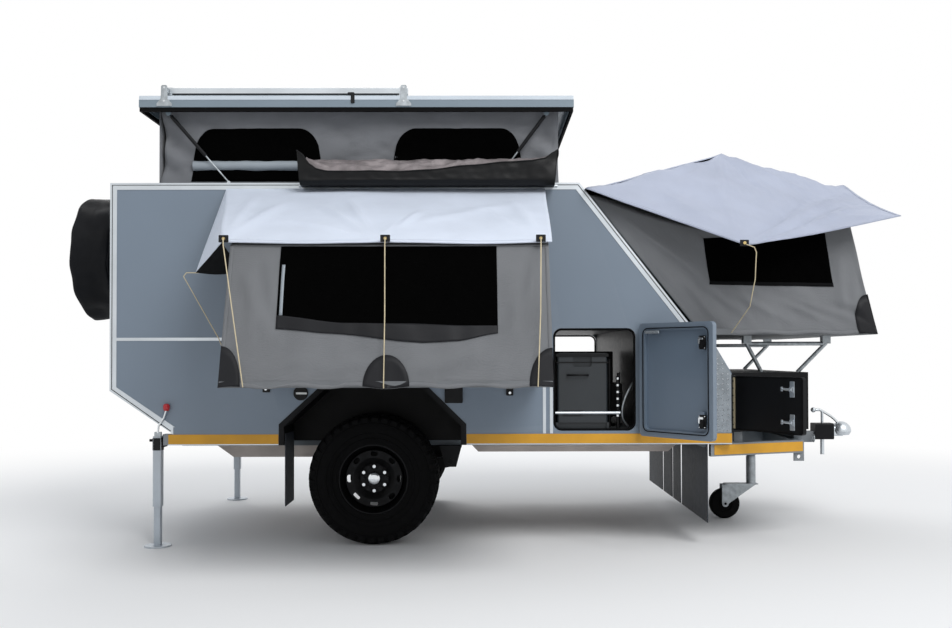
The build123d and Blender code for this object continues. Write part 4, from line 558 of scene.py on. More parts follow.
# Side fly: a sheet from the eaves trim over the tent, whose rear end hangs as a flap.
fly_low, fly_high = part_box("side_fly")
FLY_WALL_Z = 1.508
FLY_FRONT = Vector((0, -1.940, 1.081))
FLY_WALL_X = (-3.977, -2.102)
FLY_FRONT_X = (-3.745, -2.134)
FLAP_TIP = Vector((fly_low.x + 0.004, -1.45, 0.975))
FLAP_TURNED_IN = Vector((-3.728, -1.60, 0.965))
FLY_BEND = 0.16

fly_folds = [
    (0.17, 0.98, 0.33, 0.25, 0.020, 0.022), (0.17, 0.98, 0.24, 0.10, 0.016, 0.020),
    (0.55, 0.98, 0.40, 0.35, 0.016, 0.026), (0.55, 0.98, 0.30, 0.60, 0.016, 0.022),
    (0.55, 0.98, 0.47, 0.15, 0.014, 0.016), (0.55, 0.98, 0.68, 0.45, 0.016, 0.018),
    (0.97, 0.98, 0.80, 0.40, 0.020, 0.020), (0.97, 0.98, 0.90, 0.15, 0.018, 0.016),
    (0.62, 0.75, 0.95, 0.30, 0.05, 0.016), (0.58, 0.90, 0.64, 0.55, 0.010, -0.014),
    (0.25, 0.15, 0.60, 0.08, 0.04, 0.012),
]


def side_fly_cloth(u, v):
    """u from the flap's free edge along to the front end, v from the wall out to the front edge."""
    across = ease(v) * 0.25 + v * 0.75
    t = (u - FLY_BEND) / (1 - FLY_BEND)
    rear = Vector((lerp(FLY_WALL_X[0], FLY_FRONT_X[0], v), lerp(fly_high.y, FLY_FRONT.y, across),
                   lerp(FLY_WALL_Z, FLY_FRONT.z, v)))
    if t < 0:
        out = 1 - u / FLY_BEND
        corners = (Vector((FLY_WALL_X[0], fly_high.y, FLY_WALL_Z)), FLAP_TIP,
                   Vector((FLY_FRONT_X[0], FLY_FRONT.y, FLY_FRONT.z)))
        half = 0 if v < 0.5 else 1
        point = rear.lerp(corners[half].lerp(corners[half + 1], 2 * v - half), out)
        point.x -= 0.014 * hump(out) * hump(v)
        rise = crease(u, v, fly_folds) + ruffle((u * 6, v * 2, 7), 0.4, 0.010)
        point.z += rise * hump(v) * (1 - 0.5 * out)
        return point
    front = Vector((lerp(FLY_WALL_X[1], FLY_FRONT_X[1], v), rear.y, rear.z))
    point = rear.lerp(front, t)
    free = hump(0.04 + 0.92 * v) ** 0.6 * hump(0.04 + 0.92 * t) ** 0.3
    point.z += (crease(u, v, fly_folds) + ruffle((u * 2, v, 4), 0.3, 0.010)) * free
    point.z -= 0.010 * ease(v * 6 - 5) * abs(sin(2 * pi * t)) * (0.6 + 0.4 * t)
    return point


def folds_with_side_fly(obj):
    """Gives a piece of the fly its own mesh."""
    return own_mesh(obj)


def flap_fold(u, v):
    """The flap's black lining, turned in toward the tent's end wall."""
    front = Vector((FLY_FRONT_X[0], FLY_FRONT.y, FLY_FRONT.z - 0.004))
    edge = FLAP_TIP.lerp(FLAP_TURNED_IN, u) + Vector((0, 0, -0.012 * hump(u)))
    return front.lerp(edge, v)


side_fly = laid("side_fly_sheet", side_fly_cloth, 150, 48, [fly_cloth, lining], "trailer", 0.003, 1, flip=True)
fly_hem = laid("side_fly_hem", part_of(lifted(side_fly_cloth, -HEM_LIFT), FLY_BEND, 1, 0.965, 1), 80, 2,
               fly_cloth, "trailer", PANE, flip=True)
flap_lining = laid("side_fly_flap_lining", flap_fold, 16, 10, lining, "trailer", 0.002)
for piece in (side_fly, fly_hem, flap_lining):
    folds_with_side_fly(piece)
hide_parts("side_fly")

# Grommets on black tabs, and the hooked rods that hold the fly off the bed.
rod_tops = [(-3.735, -1.945, 1.083), (-2.948, -1.950, 1.083), (-2.190, -1.950, 1.083)]
rod_feet = [(-3.600, -2.112, 0.378), (-2.940, -2.112, 0.372), (-2.215, -2.112, 0.378)]
tabs = blocks("side_fly_tabs", [((x, y - 0.004, z + 0.012), (0.048, 0.006, 0.036)) for x, y, z in rod_tops],
              patch_vinyl, "trailer", 0.002)
eyes = discs("side_fly_eyes", [(x, y - 0.009, z + 0.012) for x, y, z in rod_tops], 0.009, 0.004, brass, "trailer",
             axis=(0, -1, 0))
rods = []
for top, foot in zip(rod_tops, rod_feet):
    top, foot = Vector(top), Vector(foot)
    hook = top + Vector((0, -0.012, 0.012))
    rods.append([hook + Vector((0, 0.012, 0.004)), hook, top.lerp(foot, 0.03) + Vector((0, -0.02, 0)),
                 top.lerp(foot, 0.5) + Vector((0.004, -0.028, 0)), foot + Vector((0, -0.006, 0.01)), foot])
flap_rod = [FLAP_TIP + Vector(step) for step in ((0.01, 0.03, 0), (-0.06, 0.03, 0), (-0.075, 0.03, -0.02))]
flap_rod += [(-3.88, -1.50, 0.62), (-3.735, -1.72, 0.41)]
side_rods = bars("side_fly_rods", rods, ROD_RADIUS, cream_rod, "trailer")
flap_rods = bars("side_flap_rod", [flap_rod], ROD_RADIUS, cream_rod, "trailer")
for piece in (tabs, eyes, side_rods, flap_rods):
    folds_with_side_fly(piece)


# Front tent: walls from the slope round the bed's end, with a window in each side.
front_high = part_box("front_tent")[1]
SLOPE_FOOT = Vector((-1.178, 0, 0.645))
SLOPE_HEAD = Vector((-1.842, 0, 1.476))
BED_END_X = front_high.x
FRONT_TOP_X = -0.285
FRONT_TOP_Z = 1.30
SLOPE_HALF = 0.950
BED_HALF = front_high.y
TOP_HALF = 0.935
FRONT_PARTS = (0.36, 0.64)

front_folds = [
    (0.95, 0.90, 0.86, 0.20, 0.022, 0.022), (0.99, 0.70, 0.90, 0.10, 0.022, 0.024),
    (0.80, 0.30, 0.97, 0.12, 0.022, -0.020), (0.86, 0.34, 0.98, 0.20, 0.016, 0.016),
    (0.55, 0.35, 0.80, 0.06, 0.030, 0.018), (0.62, 0.36, 0.92, 0.10, 0.020, 0.014),
    (0.35, 0.40, 0.55, 0.10, 0.040, 0.018), (0.20, 0.50, 0.33, 0.15, 0.030, 0.014),
    (0.10, 0.85, 0.30, 0.40, 0.040, 0.014), (0.05, 0.95, 0.22, 0.60, 0.020, 0.012),
]


def front_side(s):
    """Side wall of the front tent: u from the slope to the bed's end, v from the foot up."""
    def place(u, v):
        foot = Vector((lerp(SLOPE_FOOT.x, BED_END_X, u), lerp(SLOPE_HALF, BED_HALF, ease(u * 4)),
                       SLOPE_FOOT.z))
        head = Vector((lerp(SLOPE_HEAD.x, FRONT_TOP_X, u), lerp(SLOPE_HALF, TOP_HALF, u),
                       lerp(SLOPE_HEAD.z, FRONT_TOP_Z, u) - 0.13 * hump(u)))
        point = foot.lerp(head, v)
        point.y = lerp(foot.y, head.y, ease(v * 1.6))
        free = hump(0.02 + 0.96 * u) ** 0.5 * hump(0.03 + 0.94 * v) ** 0.5
        rise = crease(u, v, front_folds)
        rise += ruffle((u * 3, v * 1.5, 9), 0.35, 0.018, s) + ruffle((u * 9, v * 2, 4), 0.5, 0.008)
        point.y = s * (point.y + rise * free)
        point.z += 0.005 * sin(7 * pi * u) * (1 - v) ** 6
        return point
    return place


def front_end(u, v):
    """End wall over the bed's end: u from right to left, v from the foot up."""
    side = 2 * u - 1
    foot = Vector((BED_END_X, BED_HALF * side, SLOPE_FOOT.z))
    head = Vector((FRONT_TOP_X, TOP_HALF * side, FRONT_TOP_Z))
    point = foot.lerp(head, v)
    free = hump(0.02 + 0.96 * u) ** 0.4 * hump(0.03 + 0.94 * v) ** 0.5
    point.x -= (0.012 * hump(v) + ruffle((u * 3, v, 12), 0.3, 0.012)) * free
    return point


front_right, front_left = front_side(-1), front_side(1)


def front_walls(u, v):
    """The three walls as one surface: right side, end, left side."""
    a, b = FRONT_PARTS
    if u < a:
        return front_right(u / a, v)
    if u > b:
        return front_left((1 - u) / (1 - b), v)
    return front_end((u - a) / (b - a), v)


ROOF_PEAK = Vector((-0.85, 0, 1.70))


def front_roof(u, v):
    """Tent roof under the fly, as a ring of eaves drawn up to the peak: u round it, v up."""
    ring = u * 4
    if ring < 1:
        eave = front_right(ring, 1)
    elif ring < 2:
        eave = front_end(ring - 1, 1)
    elif ring < 3:
        eave = front_left(3 - ring, 1)
    else:
        eave = Vector((SLOPE_HEAD.x, lerp(SLOPE_HALF, -SLOPE_HALF, ring - 3), SLOPE_HEAD.z))
    point = eave.lerp(ROOF_PEAK, v)
    point.z -= 0.05 * hump(v)
    return point


def folds_with_front_bed(obj):
    """Cloth between the slope and the front bed."""
    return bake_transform(obj)


def at_place(place, x, z):
    """Point of a side wall's surface over an x and a z."""
    u, v = 0.5, 0.5
    for _ in range(7):
        here = place(u, v)
        du, dv = (place(u + 0.001, v) - here) / 0.001, (place(u, v + 0.001) - here) / 0.001
        area = du.x * dv.z - dv.x * du.z
        ex, ez = x - here.x, z - here.z
        u += (ex * dv.z - dv.x * ez) / area
        v += (du.x * ez - ex * du.z) / area
        u, v = min(max(u, 0.01), 0.99), min(max(v, 0.01), 0.985)
    return u, v


def quad_pane(place, corners, lift):
    """A pane between four (x, z) corners: foot rear, foot front, head rear, head front."""
    raised = lifted(place, lift)

    def pane(u, v):
        foot = Vector(corners[0]).lerp(Vector(corners[1]), u)
        head = Vector(corners[2]).lerp(Vector(corners[3]), u)
        x, z = foot.lerp(head, v)
        return raised(*at_place(place, x, z))
    return pane


FRONT_WINDOW = ((-1.130, 0.958), (-0.395, 0.945), (-1.165, 1.215), (-0.440, 1.255))
FRONT_WINDOW_FOOT = ((-1.134, 0.940), (-0.391, 0.927), (-1.130, 0.962), (-0.395, 0.949))
front_tent = laid("front_tent_walls", front_walls, 180, 40, canvas)
front_tent_roof = laid("front_tent_roof", front_roof, 64, 14, canvas, "trailer")
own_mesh(front_tent_roof)
front_details = [front_tent, band("front_tent_hem", front_walls, 0, 1, 0, 0.04, canvas, HEM_LIFT, (80, 2))]
for side, place, lift in (("right", front_right, PATCH_LIFT), ("left", front_left, -PATCH_LIFT)):
    front_details += [
        laid(f"front_tent_window_{side}", quad_pane(place, FRONT_WINDOW, lift), 48, 24, window_mesh, None, PANE),
        laid(f"front_tent_window_foot_{side}", quad_pane(place, FRONT_WINDOW_FOOT, lift * 1.4), 48, 2, lining,
             None, PANE),
        fan(f"front_tent_patch_{side}", place, (1, 0), (0.105, 0.36), pi / 2, pi, patch_vinyl, lift),
    ]
front_details += [
    band("front_tent_window_end", front_end, 0.2, 0.8, 0.42, 0.92, window_mesh, PATCH_LIFT, (40, 20)),
    fan("front_tent_patch_end_right", front_end, (0, 0), (0.06, 0.36), 0, pi / 2, patch_vinyl),
    fan("front_tent_patch_end_left", front_end, (1, 0), (0.06, 0.36), pi / 2, pi, patch_vinyl),
]
for piece in front_details:
    folds_with_front_bed(piece)
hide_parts("front_tent")


# Front fly: a sheet drawn from its peak to the slope, two grommets, two corners and a front middle.
FLY_PEAK = Vector((-0.815, 0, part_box("front_fly")[1].z - 0.004))
FLY_REAR = Vector((-1.872, 1.028, 1.500))
FLY_GROMMET = Vector((-0.992, 1.248, 1.141))
FLY_CORNER = Vector((-0.022, 1.028, 1.338))
FLY_MIDDLE = Vector((0.043, 0, 1.692))


def mirrored(point, s):
    """A point of the left side, on the side s."""
    return Vector((point.x, s * point.y, point.z))


front_facets = [(FLY_PEAK, mirrored(FLY_REAR, -1), FLY_REAR)]
for s in (-1, 1):
    rear, grommet, corner = (mirrored(p, s) for p in (FLY_REAR, FLY_GROMMET, FLY_CORNER))
    front_facets += [(FLY_PEAK, rear, grommet), (FLY_PEAK, grommet, FLY_MIDDLE),
                     (FLY_MIDDLE, grommet, corner)]
front_ring = [mirrored(FLY_REAR, -1), mirrored(FLY_GROMMET, -1), mirrored(FLY_CORNER, -1), FLY_MIDDLE,
              FLY_CORNER, FLY_GROMMET, FLY_REAR, mirrored(FLY_REAR, -1)]


def facet_height(x, y):
    """Height of the fly's flat facets over a point, the nearest facet's outside them."""
    best, height = -1e9, FLY_PEAK.z
    for a, b, c in front_facets:
        area = (b.x - a.x) * (c.y - a.y) - (c.x - a.x) * (b.y - a.y)
        wb = ((x - a.x) * (c.y - a.y) - (c.x - a.x) * (y - a.y)) / area
        wc = ((b.x - a.x) * (y - a.y) - (x - a.x) * (b.y - a.y)) / area
        inside = min(1 - wb - wc, wb, wc)
        if inside > best:
            best, height = inside, a.z + (b.z - a.z) * wb + (c.z - a.z) * wc
    return height


# Folds in plan, as start x and distance from the middle, end x and distance, width and height.
front_fly_folds = [
    (-0.96, 1.22, 0, 0.16, 0.0255, 0.0288), (-0.93, 1.22, -0.1, 0.45, 0.0221, -0.0288),
    (-0.9, 1.22, -0.05, 0.62, 0.0221, 0.0252), (-0.97, 1.2, -0.3, 0.3, 0.0238, -0.0216),
    (-0.85, 0.02, -0.98, 0.8, 0.0298, 0.018), (-0.83, 0.02, -0.6, 0.55, 0.0255, -0.0144),
    (-0.86, 0.02, -1.3, 0.65, 0.0298, -0.0144), (-0.99, 1.15, -1.5, 0.75, 0.0298, 0.0144),
    (-0.8, 0.02, -0.25, 0.3, 0.0298, 0.0144), (-1, 1.2, -1, 0.5, 0.034, 0.018),
    (-0.04, 1, -0.45, 0.8, 0.0298, 0.0144),
]
FLY_SOFT = 0.045


def front_fly_cloth(u, v):
    """u round the edge from the right rear corner, v from the edge in to the peak."""
    span = min(u * 7, 6.9999)
    side = int(span)
    t = span - side
    at_slope = side == 6
    scallop = 0.035 * hump(t) if side not in (2, 3, 6) else 0
    plan = front_ring[side].lerp(front_ring[side + 1], t).lerp(FLY_PEAK, scallop + (1 - scallop) * v)
    around = [(plan.x + FLY_SOFT * cos(k * pi / 3), plan.y + FLY_SOFT * sin(k * pi / 3)) for k in range(6)]
    soft = ease(v * 8) * ease((1 - v) * 12) * 0.9 + 0.1
    height = lerp(facet_height(plan.x, plan.y), sum(facet_height(x, y) for x, y in around) / 6, soft)
    free = ease((1 - v) * 9) * ease(0.25 + v * 10) * (ease((1 - v) * 2) * 0.3 if at_slope else 1)
    rise = crease(plan.x, abs(plan.y), front_fly_folds) + ruffle((plan.x, plan.y, 0), 0.22, 0.016, 3)
    rise += ruffle((plan.x * 2, plan.y, 4), 0.08, 0.007, 5)
    sag = 0 if at_slope else 0.022 * hump(t) * (1 - v) ** 3
    return Vector((plan.x, plan.y, height + rise * free - sag))


def folds_with_front_fly(obj):
    """Gives a piece of the fly its own mesh."""
    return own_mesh(obj)


front_fly = laid("front_fly_sheet", front_fly_cloth, 210, 36, [silver_cloth, lining], "trailer", 0.003, 1)
front_fly_hem = laid("front_fly_hem", part_of(lifted(front_fly_cloth, HEM_LIFT), 0, 6 / 7, 0.004, 0.022),
                     180, 1, silver_cloth, "trailer", PANE)
front_eyes = [FLY_GROMMET, mirrored(FLY_GROMMET, -1)]
front_tabs = blocks("front_fly_tabs", [((p.x - 0.01, p.y * 0.998, p.z + 0.012), (0.05, 0.008, 0.036))
                                       for p in front_eyes], patch_vinyl, "trailer", 0.002)
front_eye_rings = discs("front_fly_eyes", [(p.x - 0.01, p.y * 1.002, p.z + 0.012) for p in front_eyes], 0.009,
                        0.010, brass, "trailer")
front_rods = []
for s in (-1, 1):
    eye = mirrored(FLY_GROMMET, s)
    front_rods.append([eye + Vector(step) for step in ((0, 0, 0.004), (0.045, 0, -0.012), (0.056, 0, -0.04))]
                      + [(-0.940, s * 1.235, 0.95), (-0.955, s * 1.18, 0.80), (-1.010, s * 0.985, 0.655)])
front_fly_rods = bars("front_fly_rods", front_rods, ROD_RADIUS, cream_rod, "trailer")
for piece in (front_fly, front_fly_hem, front_tabs, front_eye_rings, front_fly_rods):
    folds_with_front_fly(piece)
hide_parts("front_fly")


# Roof skirt: a canvas wall round the opening under the pop-top, with two windows in each side.
skirt_low, skirt_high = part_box("roof_skirt")
SKIRT_PARTS = (0.36, 0.5, 0.86)
skirt_half, skirt_top = skirt_high.y - 0.006, skirt_high.z - 0.003


def skirt_side(s):
    """u from the rear to the front, v up."""
    def place(u, v):
        x = lerp(skirt_low.x + 0.004, skirt_high.x - 0.004, u)
        x += 0.03 * (0.5 - u) * 2 * hump(v) * ease(abs(2 * u - 1) * 2 - 1)
        slack = hump(v) ** 0.7
        folds = 0.034 * ease((abs(2 * u - 1) - 0.80) * 5) * sin(26 * u + 7 * v) ** 2
        rise = ruffle((x, v * 0.7, s), 0.20, 0.026, 7) + ruffle((x * 2, v * 1.5, s), 0.13, 0.014, 8)
        y = skirt_half - slack * (0.010 + folds + max(rise, -0.002))
        return Vector((x, s * y, lerp(skirt_low.z, skirt_top, v)))
    return place


def skirt_end(x, inward):
    """u from right to left, v up."""
    def place(u, v):
        slack = hump(v) ** 0.7 * hump(u) ** 0.3
        rise = ruffle((u * 1.8, v * 0.5, x), 0.25, 0.016, 9)
        return Vector((x + inward * (0.008 + abs(rise)) * slack, lerp(-skirt_half, skirt_half, u),
                       lerp(skirt_low.z, skirt_top, v)))
    return place


skirt_right, skirt_left = skirt_side(-1), skirt_side(1)
skirt_front, skirt_rear = skirt_end(skirt_high.x - 0.004, -1), skirt_end(skirt_low.x + 0.004, 1)


def skirt_walls(u, v):
    """The four walls as one surface: right, front, left, rear."""
    a, b, c = SKIRT_PARTS
    if u < a:
        return skirt_right(u / a, v)
    if u < b:
        return skirt_front((u - a) / (b - a), v)
    if u < c:
        return skirt_left(1 - (u - b) / (c - b), v)
    return skirt_rear(1 - (u - c) / (1 - c), v)


def folds_with_roof(obj):
    """Gives a piece of the skirt its own mesh."""
    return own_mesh(obj)


def arched(place, u0, u1, v0, v1, corner):
    """A window of a surface whose two top corners are rounded."""
    def pane(u, v):
        reach = 1 - min(min(u, 1 - u) / corner, 1)
        top = 1 - 0.55 * (1 - (1 - reach * reach) ** 0.5)
        return place(lerp(u0, u1, u), lerp(v0, lerp(v0, v1, top), v))
    return pane


skirt = laid("roof_skirt_walls", skirt_walls, 320, 28, skirt_canvas, "trailer")
skirt_pieces = [skirt]
skirt_windows = ((0.078, 0.402), (0.586, 0.911))
for side, place, lift in (("right", skirt_right, PATCH_LIFT), ("left", skirt_left, -PATCH_LIFT)):
    for k, (u0, u1) in enumerate(skirt_windows):
        pane = arched(lifted(place, lift), u0, u1, 0.05, 0.712, 0.17)
        skirt_pieces.append(laid(f"skirt_window_{side}_{k}", pane, 64, 16, window_mesh, "trailer", PANE))
for side, s in SIDES:
    roll = [(lerp(-4.200, -3.450, i / 12), s * (0.872 - 0.001 * sin(2 * i)), 1.662 + 0.001 * sin(1.7 * i))
            for i in range(13)]
    skirt_pieces.append(bars(f"skirt_flap_roll_{side}", [roll], 0.031, liner_plastic, "trailer"))
for piece in skirt_pieces:
    folds_with_roof(piece)
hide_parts("roof_skirt")


# Awning bag: a long open trough of black vinyl with the rolled awning slack in it.
bag_low, bag_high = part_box("awning_bag")
bag_lip = [(0.0, 1.712), (0.02, 1.690), (0.05, 1.630), (0.08, 1.600), (0.12, 1.588), (0.40, 1.586),
           (0.52, 1.596), (0.66, 1.622), (0.80, 1.640), (0.90, 1.648), (0.95, 1.662), (0.985, 1.700), (1.0, 1.716)]


def bag_shell(u, v):
    """u from the rear to the front, v from the back's top edge down, under and up to the lip."""
    lip = along_table(bag_lip, u)
    back_y, front_y = bag_high.y - 0.006, bag_low.y + 0.004
    floor_z = bag_low.z - 0.012
    back_top = lerp(lip, 1.655, ease(min(u, 1 - u) * 12))
    section = [(0.0, back_y, back_top), (0.3, back_y, floor_z + 0.02), (0.4, back_y - 0.02, floor_z),
               (0.58, front_y + 0.03, floor_z + 0.002), (0.68, front_y + 0.002, floor_z + 0.028),
               (1.0, front_y, lip)]
    y = along_table([(t, py) for t, py, _ in section], v)
    z = along_table([(t, pz) for t, _, pz in section], v)
    x = lerp(bag_low.x + 0.004, bag_high.x - 0.004, u)
    end = ease(1 - min(u, 1 - u) * 25)
    y = lerp(y, lerp(back_y, front_y, 0.5), 0.25 * end * ease(2 * (z - floor_z) / 0.2 - 0.6))
    x += (0.5 - u) * 2 * 0.02 * end * (1 - (z - floor_z) / 0.2)
    free = ease((v - 0.6) * 5)
    y += free * (0.7 * (ruffle((x, z, 0), 0.16, 0.012, 2) + ruffle((x * 2, z * 3, 0), 0.09, 0.006, 6)) + 0.006)
    z += ruffle((x, v, 3), 0.2, 0.006, 4) * ease(v * 4 - 3) * hump(u)
    return Vector((x, y, z))


def awning_slack(u, v):
    """The awning's cloth in the bag: u from rear to front, v from the back over to the lip."""
    u = lerp(0.035, 0.975, u)
    lip = along_table(bag_lip, u)
    x = lerp(bag_low.x, bag_high.x, u)
    y = lerp(bag_high.y - 0.012, bag_low.y + 0.022, v)
    top = lerp(1.668, lip - 0.012, ease(v)) + 0.018 * hump(v * 0.9)
    crumple = ruffle((x * 0.7, y * 3, 0), 0.10, 0.022, 11) + ruffle((x, y * 4, 2), 0.045, 0.010, 12)
    return Vector((x, y, min(top + crumple * hump(0.1 + 0.8 * v), 1.705)))


bag = laid("awning_bag_shell", bag_shell, 160, 30, bag_vinyl, "trailer", 0.003)
slack = laid("awning_cloth_folds", awning_slack, 200, 24, awning_cloth, "trailer", 0.002)
for end, u in (("rear", 0.0), ("front", 1.0)):
    def bag_end(a, b, u=u):
        """End of the bag: a from the back to the front, b from the floor up."""
        back, front = bag_shell(u, 0.25 - 0.2 * b), bag_shell(u, 0.75 + 0.25 * b)
        point = back.lerp(front, a)
        point.x += ruffle((a, b, u), 0.3, 0.01)
        return point

    laid(f"awning_bag_end_{end}", bag_end, 10, 10, bag_vinyl, "trailer", 0.003)
bars("awning_bag_piping", [[bag_shell(i / 80, 1.0) for i in range(81)]], 0.004, bag_vinyl, "trailer")
bars("awning_bag_rail", [[(x, bag_high.y - 0.004, 1.522) for x in (bag_low.x, bag_high.x)]], 0.007, aluminium,
     "trailer")
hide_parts("awning_bag")


# Spare wheel's cover: a soft drum with piped edges, drawn in at the back.
cover_low, cover_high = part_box("spare_cover")
cover_middle = (cover_low + cover_high) / 2
cover_radius = (cover_high.z - cover_low.z) / 2
cover_depth = cover_high.x - cover_low.x
cover_profile = [(0.0, -0.010), (0.25, -0.008), (0.55, -0.004), (0.80, 0.0), (0.93, 0.018), (0.985, 0.055),
                 (1.0, 0.12), (0.985, 0.5), (0.99, 0.75), (0.985, 0.92), (0.95, 0.985), (0.86, 1.0)]


def cover_cloth_at(u, v):
    """u round the drum, v from the middle of the outer face over the edge to the back."""
    reach = v * (len(cover_profile) - 1)
    i = min(int(reach), len(cover_profile) - 2)
    (r0, d0), (r1, d1) = cover_profile[i], cover_profile[i + 1]
    radius, depth = lerp(r0, r1, reach - i) * cover_radius, lerp(d0, d1, reach - i) * cover_depth
    angle = 2 * pi * u
    slack = ease((v - 0.4) * 4) * ease((1.02 - v) * 8)
    radius += (0.008 * sin(9 * angle) * sin(3 * angle + 1) + ruffle((sin(angle), cos(angle), v * 2), 0.3, 0.016, 14)
               - 0.008) * slack
    depth += ruffle((sin(angle) * radius * 4, cos(angle) * radius * 4, 1), 0.5, 0.010, 15) * ease(v * 3)
    return Vector((cover_low.x + max(depth, -0.008), cover_middle.y + radius * sin(angle),
                   cover_middle.z + radius * cos(angle)))


cover = laid("spare_cover_cloth", cover_cloth_at, 160, 66, cover_cloth, "trailer", 0.003)
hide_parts("spare_cover")
for name, v in (("front", 4.6 / 11), ("back", 9.6 / 11)):
    bars(f"spare_cover_piping_{name}", [[cover_cloth_at(i / 96, v) for i in range(96)]], 0.005, patch_vinyl,
         "trailer", closed=True)


# Mattresses: foam pads with crowned tops, sides that pull in between the corners, and piping.
def mattress(name, node, body, cuts=(40, 28), seams=4):
    """A pad in place of a CAD mattress, riding on its bed."""
    low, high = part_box(node)
    size, middle = high - low, (low + high) / 2

    def place(a, b, c):
        """Point of the pad for a, b along and across from -1 to 1, and c from 0 below to 1 on top."""
        round_off = 0.045 / size.y * 2
        corner = max(hypot(max(abs(a) - 1 + round_off, 0), max(abs(b) - 1 + round_off, 0)) - round_off, 0)
        pull = 1 - corner - 0.006 * (1 - a * a) - 0.006 * (1 - b * b)
        belly = 1 + 0.008 * hump(c)
        crown = 0.010 * (1 - a ** 6) * (1 - b ** 6) if c > 0.5 else 0
        quilt = -0.006 * (abs(sin(pi * seams * (a + 1) / 2)) < 0.06) * (c > 0.5)
        x, y = middle.x + a * size.x / 2 * pull * belly, middle.y + b * size.y / 2 * pull * belly
        z = low.z + size.z * c + crown + quilt + ruffle((x, y, c), 0.3, 0.005, 17) * (c > 0.5)
        return Vector((x, y, z))

    made = bmesh.new()
    bmesh.ops.create_grid(made, x_segments=cuts[0], y_segments=cuts[1], size=1)
    rim = sorted((v for v in made.verts if v.is_boundary), key=lambda v: atan2(v.co.y, v.co.x))
    flat = {v: (v.co.x, v.co.y) for v in made.verts}
    for v in made.verts:
        v.co = place(v.co.x * 0.985, v.co.y * 0.985, 1.0)
    rings, ring = [], rim
    for c in (0.97, 0.88, 0.7, 0.5, 0.3, 0.12, 0.03, 0.0):
        shrink = 1 if 0.05 < c < 0.95 else 0.993
        lower = [made.verts.new(place(flat[v][0] * shrink, flat[v][1] * shrink, c)) for v in rim]
        for i in range(len(rim)):
            j = (i + 1) % len(rim)
            made.faces.new((ring[i], lower[i], lower[j], ring[j]))
        rings.append(lower)
        ring = lower
    made.faces.new(ring)
    bmesh.ops.recalc_face_normals(made, faces=made.faces)
    piping = [[corner.co.copy() for corner in ring] for ring in (rings[0], rings[-2])]
    mesh = bpy.data.meshes.new(name)
    made.to_mesh(mesh)
    made.free()
    pad = shown(name, mesh, mattress_cloth, body)
    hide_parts(node)
    bars(name + "_piping", piping, 0.005, patch_vinyl, body, closed=True)


mattress("side_mattress_pad", "side_mattress", "side_bed_body")
mattress("front_mattress_pad", "front_mattress", "front_bed_body")


# Tyres: a turned carcass with lugs, and rings on the sidewalls.
tyre_profile = [(0.206, -0.090), (0.214, -0.100), (0.222, -0.097), (0.238, -0.106), (0.262, -0.1175),
                (0.290, -0.1215), (0.318, -0.1195), (0.340, -0.116), (0.356, -0.111), (0.368, -0.100),
                (0.3745, -0.080), (0.377, -0.040), (0.3775, 0.0)]
tyre_profile += [(r, -d) for r, d in tyre_profile[-2::-1]]
TREAD_COUNT = 38
TREAD_BASE = 0.374
TYRE_RADIUS = 0.387

# Rows of lugs, as their edges across the tyre, inner and outer radius, phase and width.
tread_rows = [(-0.117, -0.078, 0.340, 0.385, 0.0, 0.66), (-0.070, -0.040, 0.376, 0.387, 0.5, 0.62),
              (-0.033, -0.004, 0.376, 0.387, 0.15, 0.60), (0.004, 0.033, 0.376, 0.387, 0.65, 0.60),
              (0.040, 0.070, 0.376, 0.387, 0.3, 0.62), (0.078, 0.117, 0.340, 0.385, 0.8, 0.66)]


def tyre(side):
    """A tyre in place of the CAD one, with its lugs as a piece of their own."""
    node, body = f"tyre_{side}", f"wheel_{side}_body"
    low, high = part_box(node)
    centre = (low + high) / 2
    scale = (high.z - low.z) / 2 / TYRE_RADIUS
    profile = [(r * scale, d) for r, d in tyre_profile]
    carcass = turned(f"tyre_{side}_carcass", profile, centre, (0, 1, 0), rubber, body)
    points, faces = [], []
    for y0, y1, r0, r1, phase, width in tread_rows:
        for k in range(TREAD_COUNT):
            start = 2 * pi * (k + phase) / TREAD_COUNT
            turn = 2 * pi * width / TREAD_COUNT
            skew = 0.25 * turn * (1 if y0 > 0 else -1)
            base = len(points)
            for y, lean in ((y0, 0), (y1, skew)):
                at_edge = abs(y) > 0.1
                heights = (r0, r1 - 0.018) if at_edge else (TREAD_BASE, r1)
                for angle in (start + lean, start + turn + lean):
                    points += [centre + scale * r * Vector((cos(angle), 0, sin(angle))) + Vector((0, y, 0))
                               for r in heights]
            faces += [tuple(base + i for i in f) for f in
                      ((0, 1, 3, 2), (4, 6, 7, 5), (0, 4, 5, 1), (2, 3, 7, 6), (1, 5, 7, 3), (0, 2, 6, 4))]
    lugs = solid(f"tyre_{side}_lugs", points, faces, rubber, body, smooth=False)
    lugs.modifiers.new("edges", "BEVEL").width = 0.002
    circle = [2 * pi * i / 96 for i in range(96)]
    rings = [[centre + Vector((r * cos(t), y, r * sin(t))) for t in circle]
             for r, depth in ((0.245, 0.1105), (0.275, 0.1205), (0.332, 0.1185)) for y in (-depth, depth)]
    bars(f"tyre_{side}_rings", rings, 0.0022, rubber, body, closed=True)
    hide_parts(node)


tyre("right")
tyre("left")


# Fittings on the body: paint bands, chequer plate, latches, brackets and the rest.
def span(node, direction):
    """Lowest and highest reach of a CAD node along a direction."""
    reach = [v.co.dot(direction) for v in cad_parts[node].data.vertices]
    return min(reach), max(reach)


def side_axes(y, s, x=0.0):
    """Axes on an upright plane along the trailer: forward, up, and out on the side s."""
    return axes(Vector((x, y, 0)), FORWARD, UP, Vector((0, s, 0)))


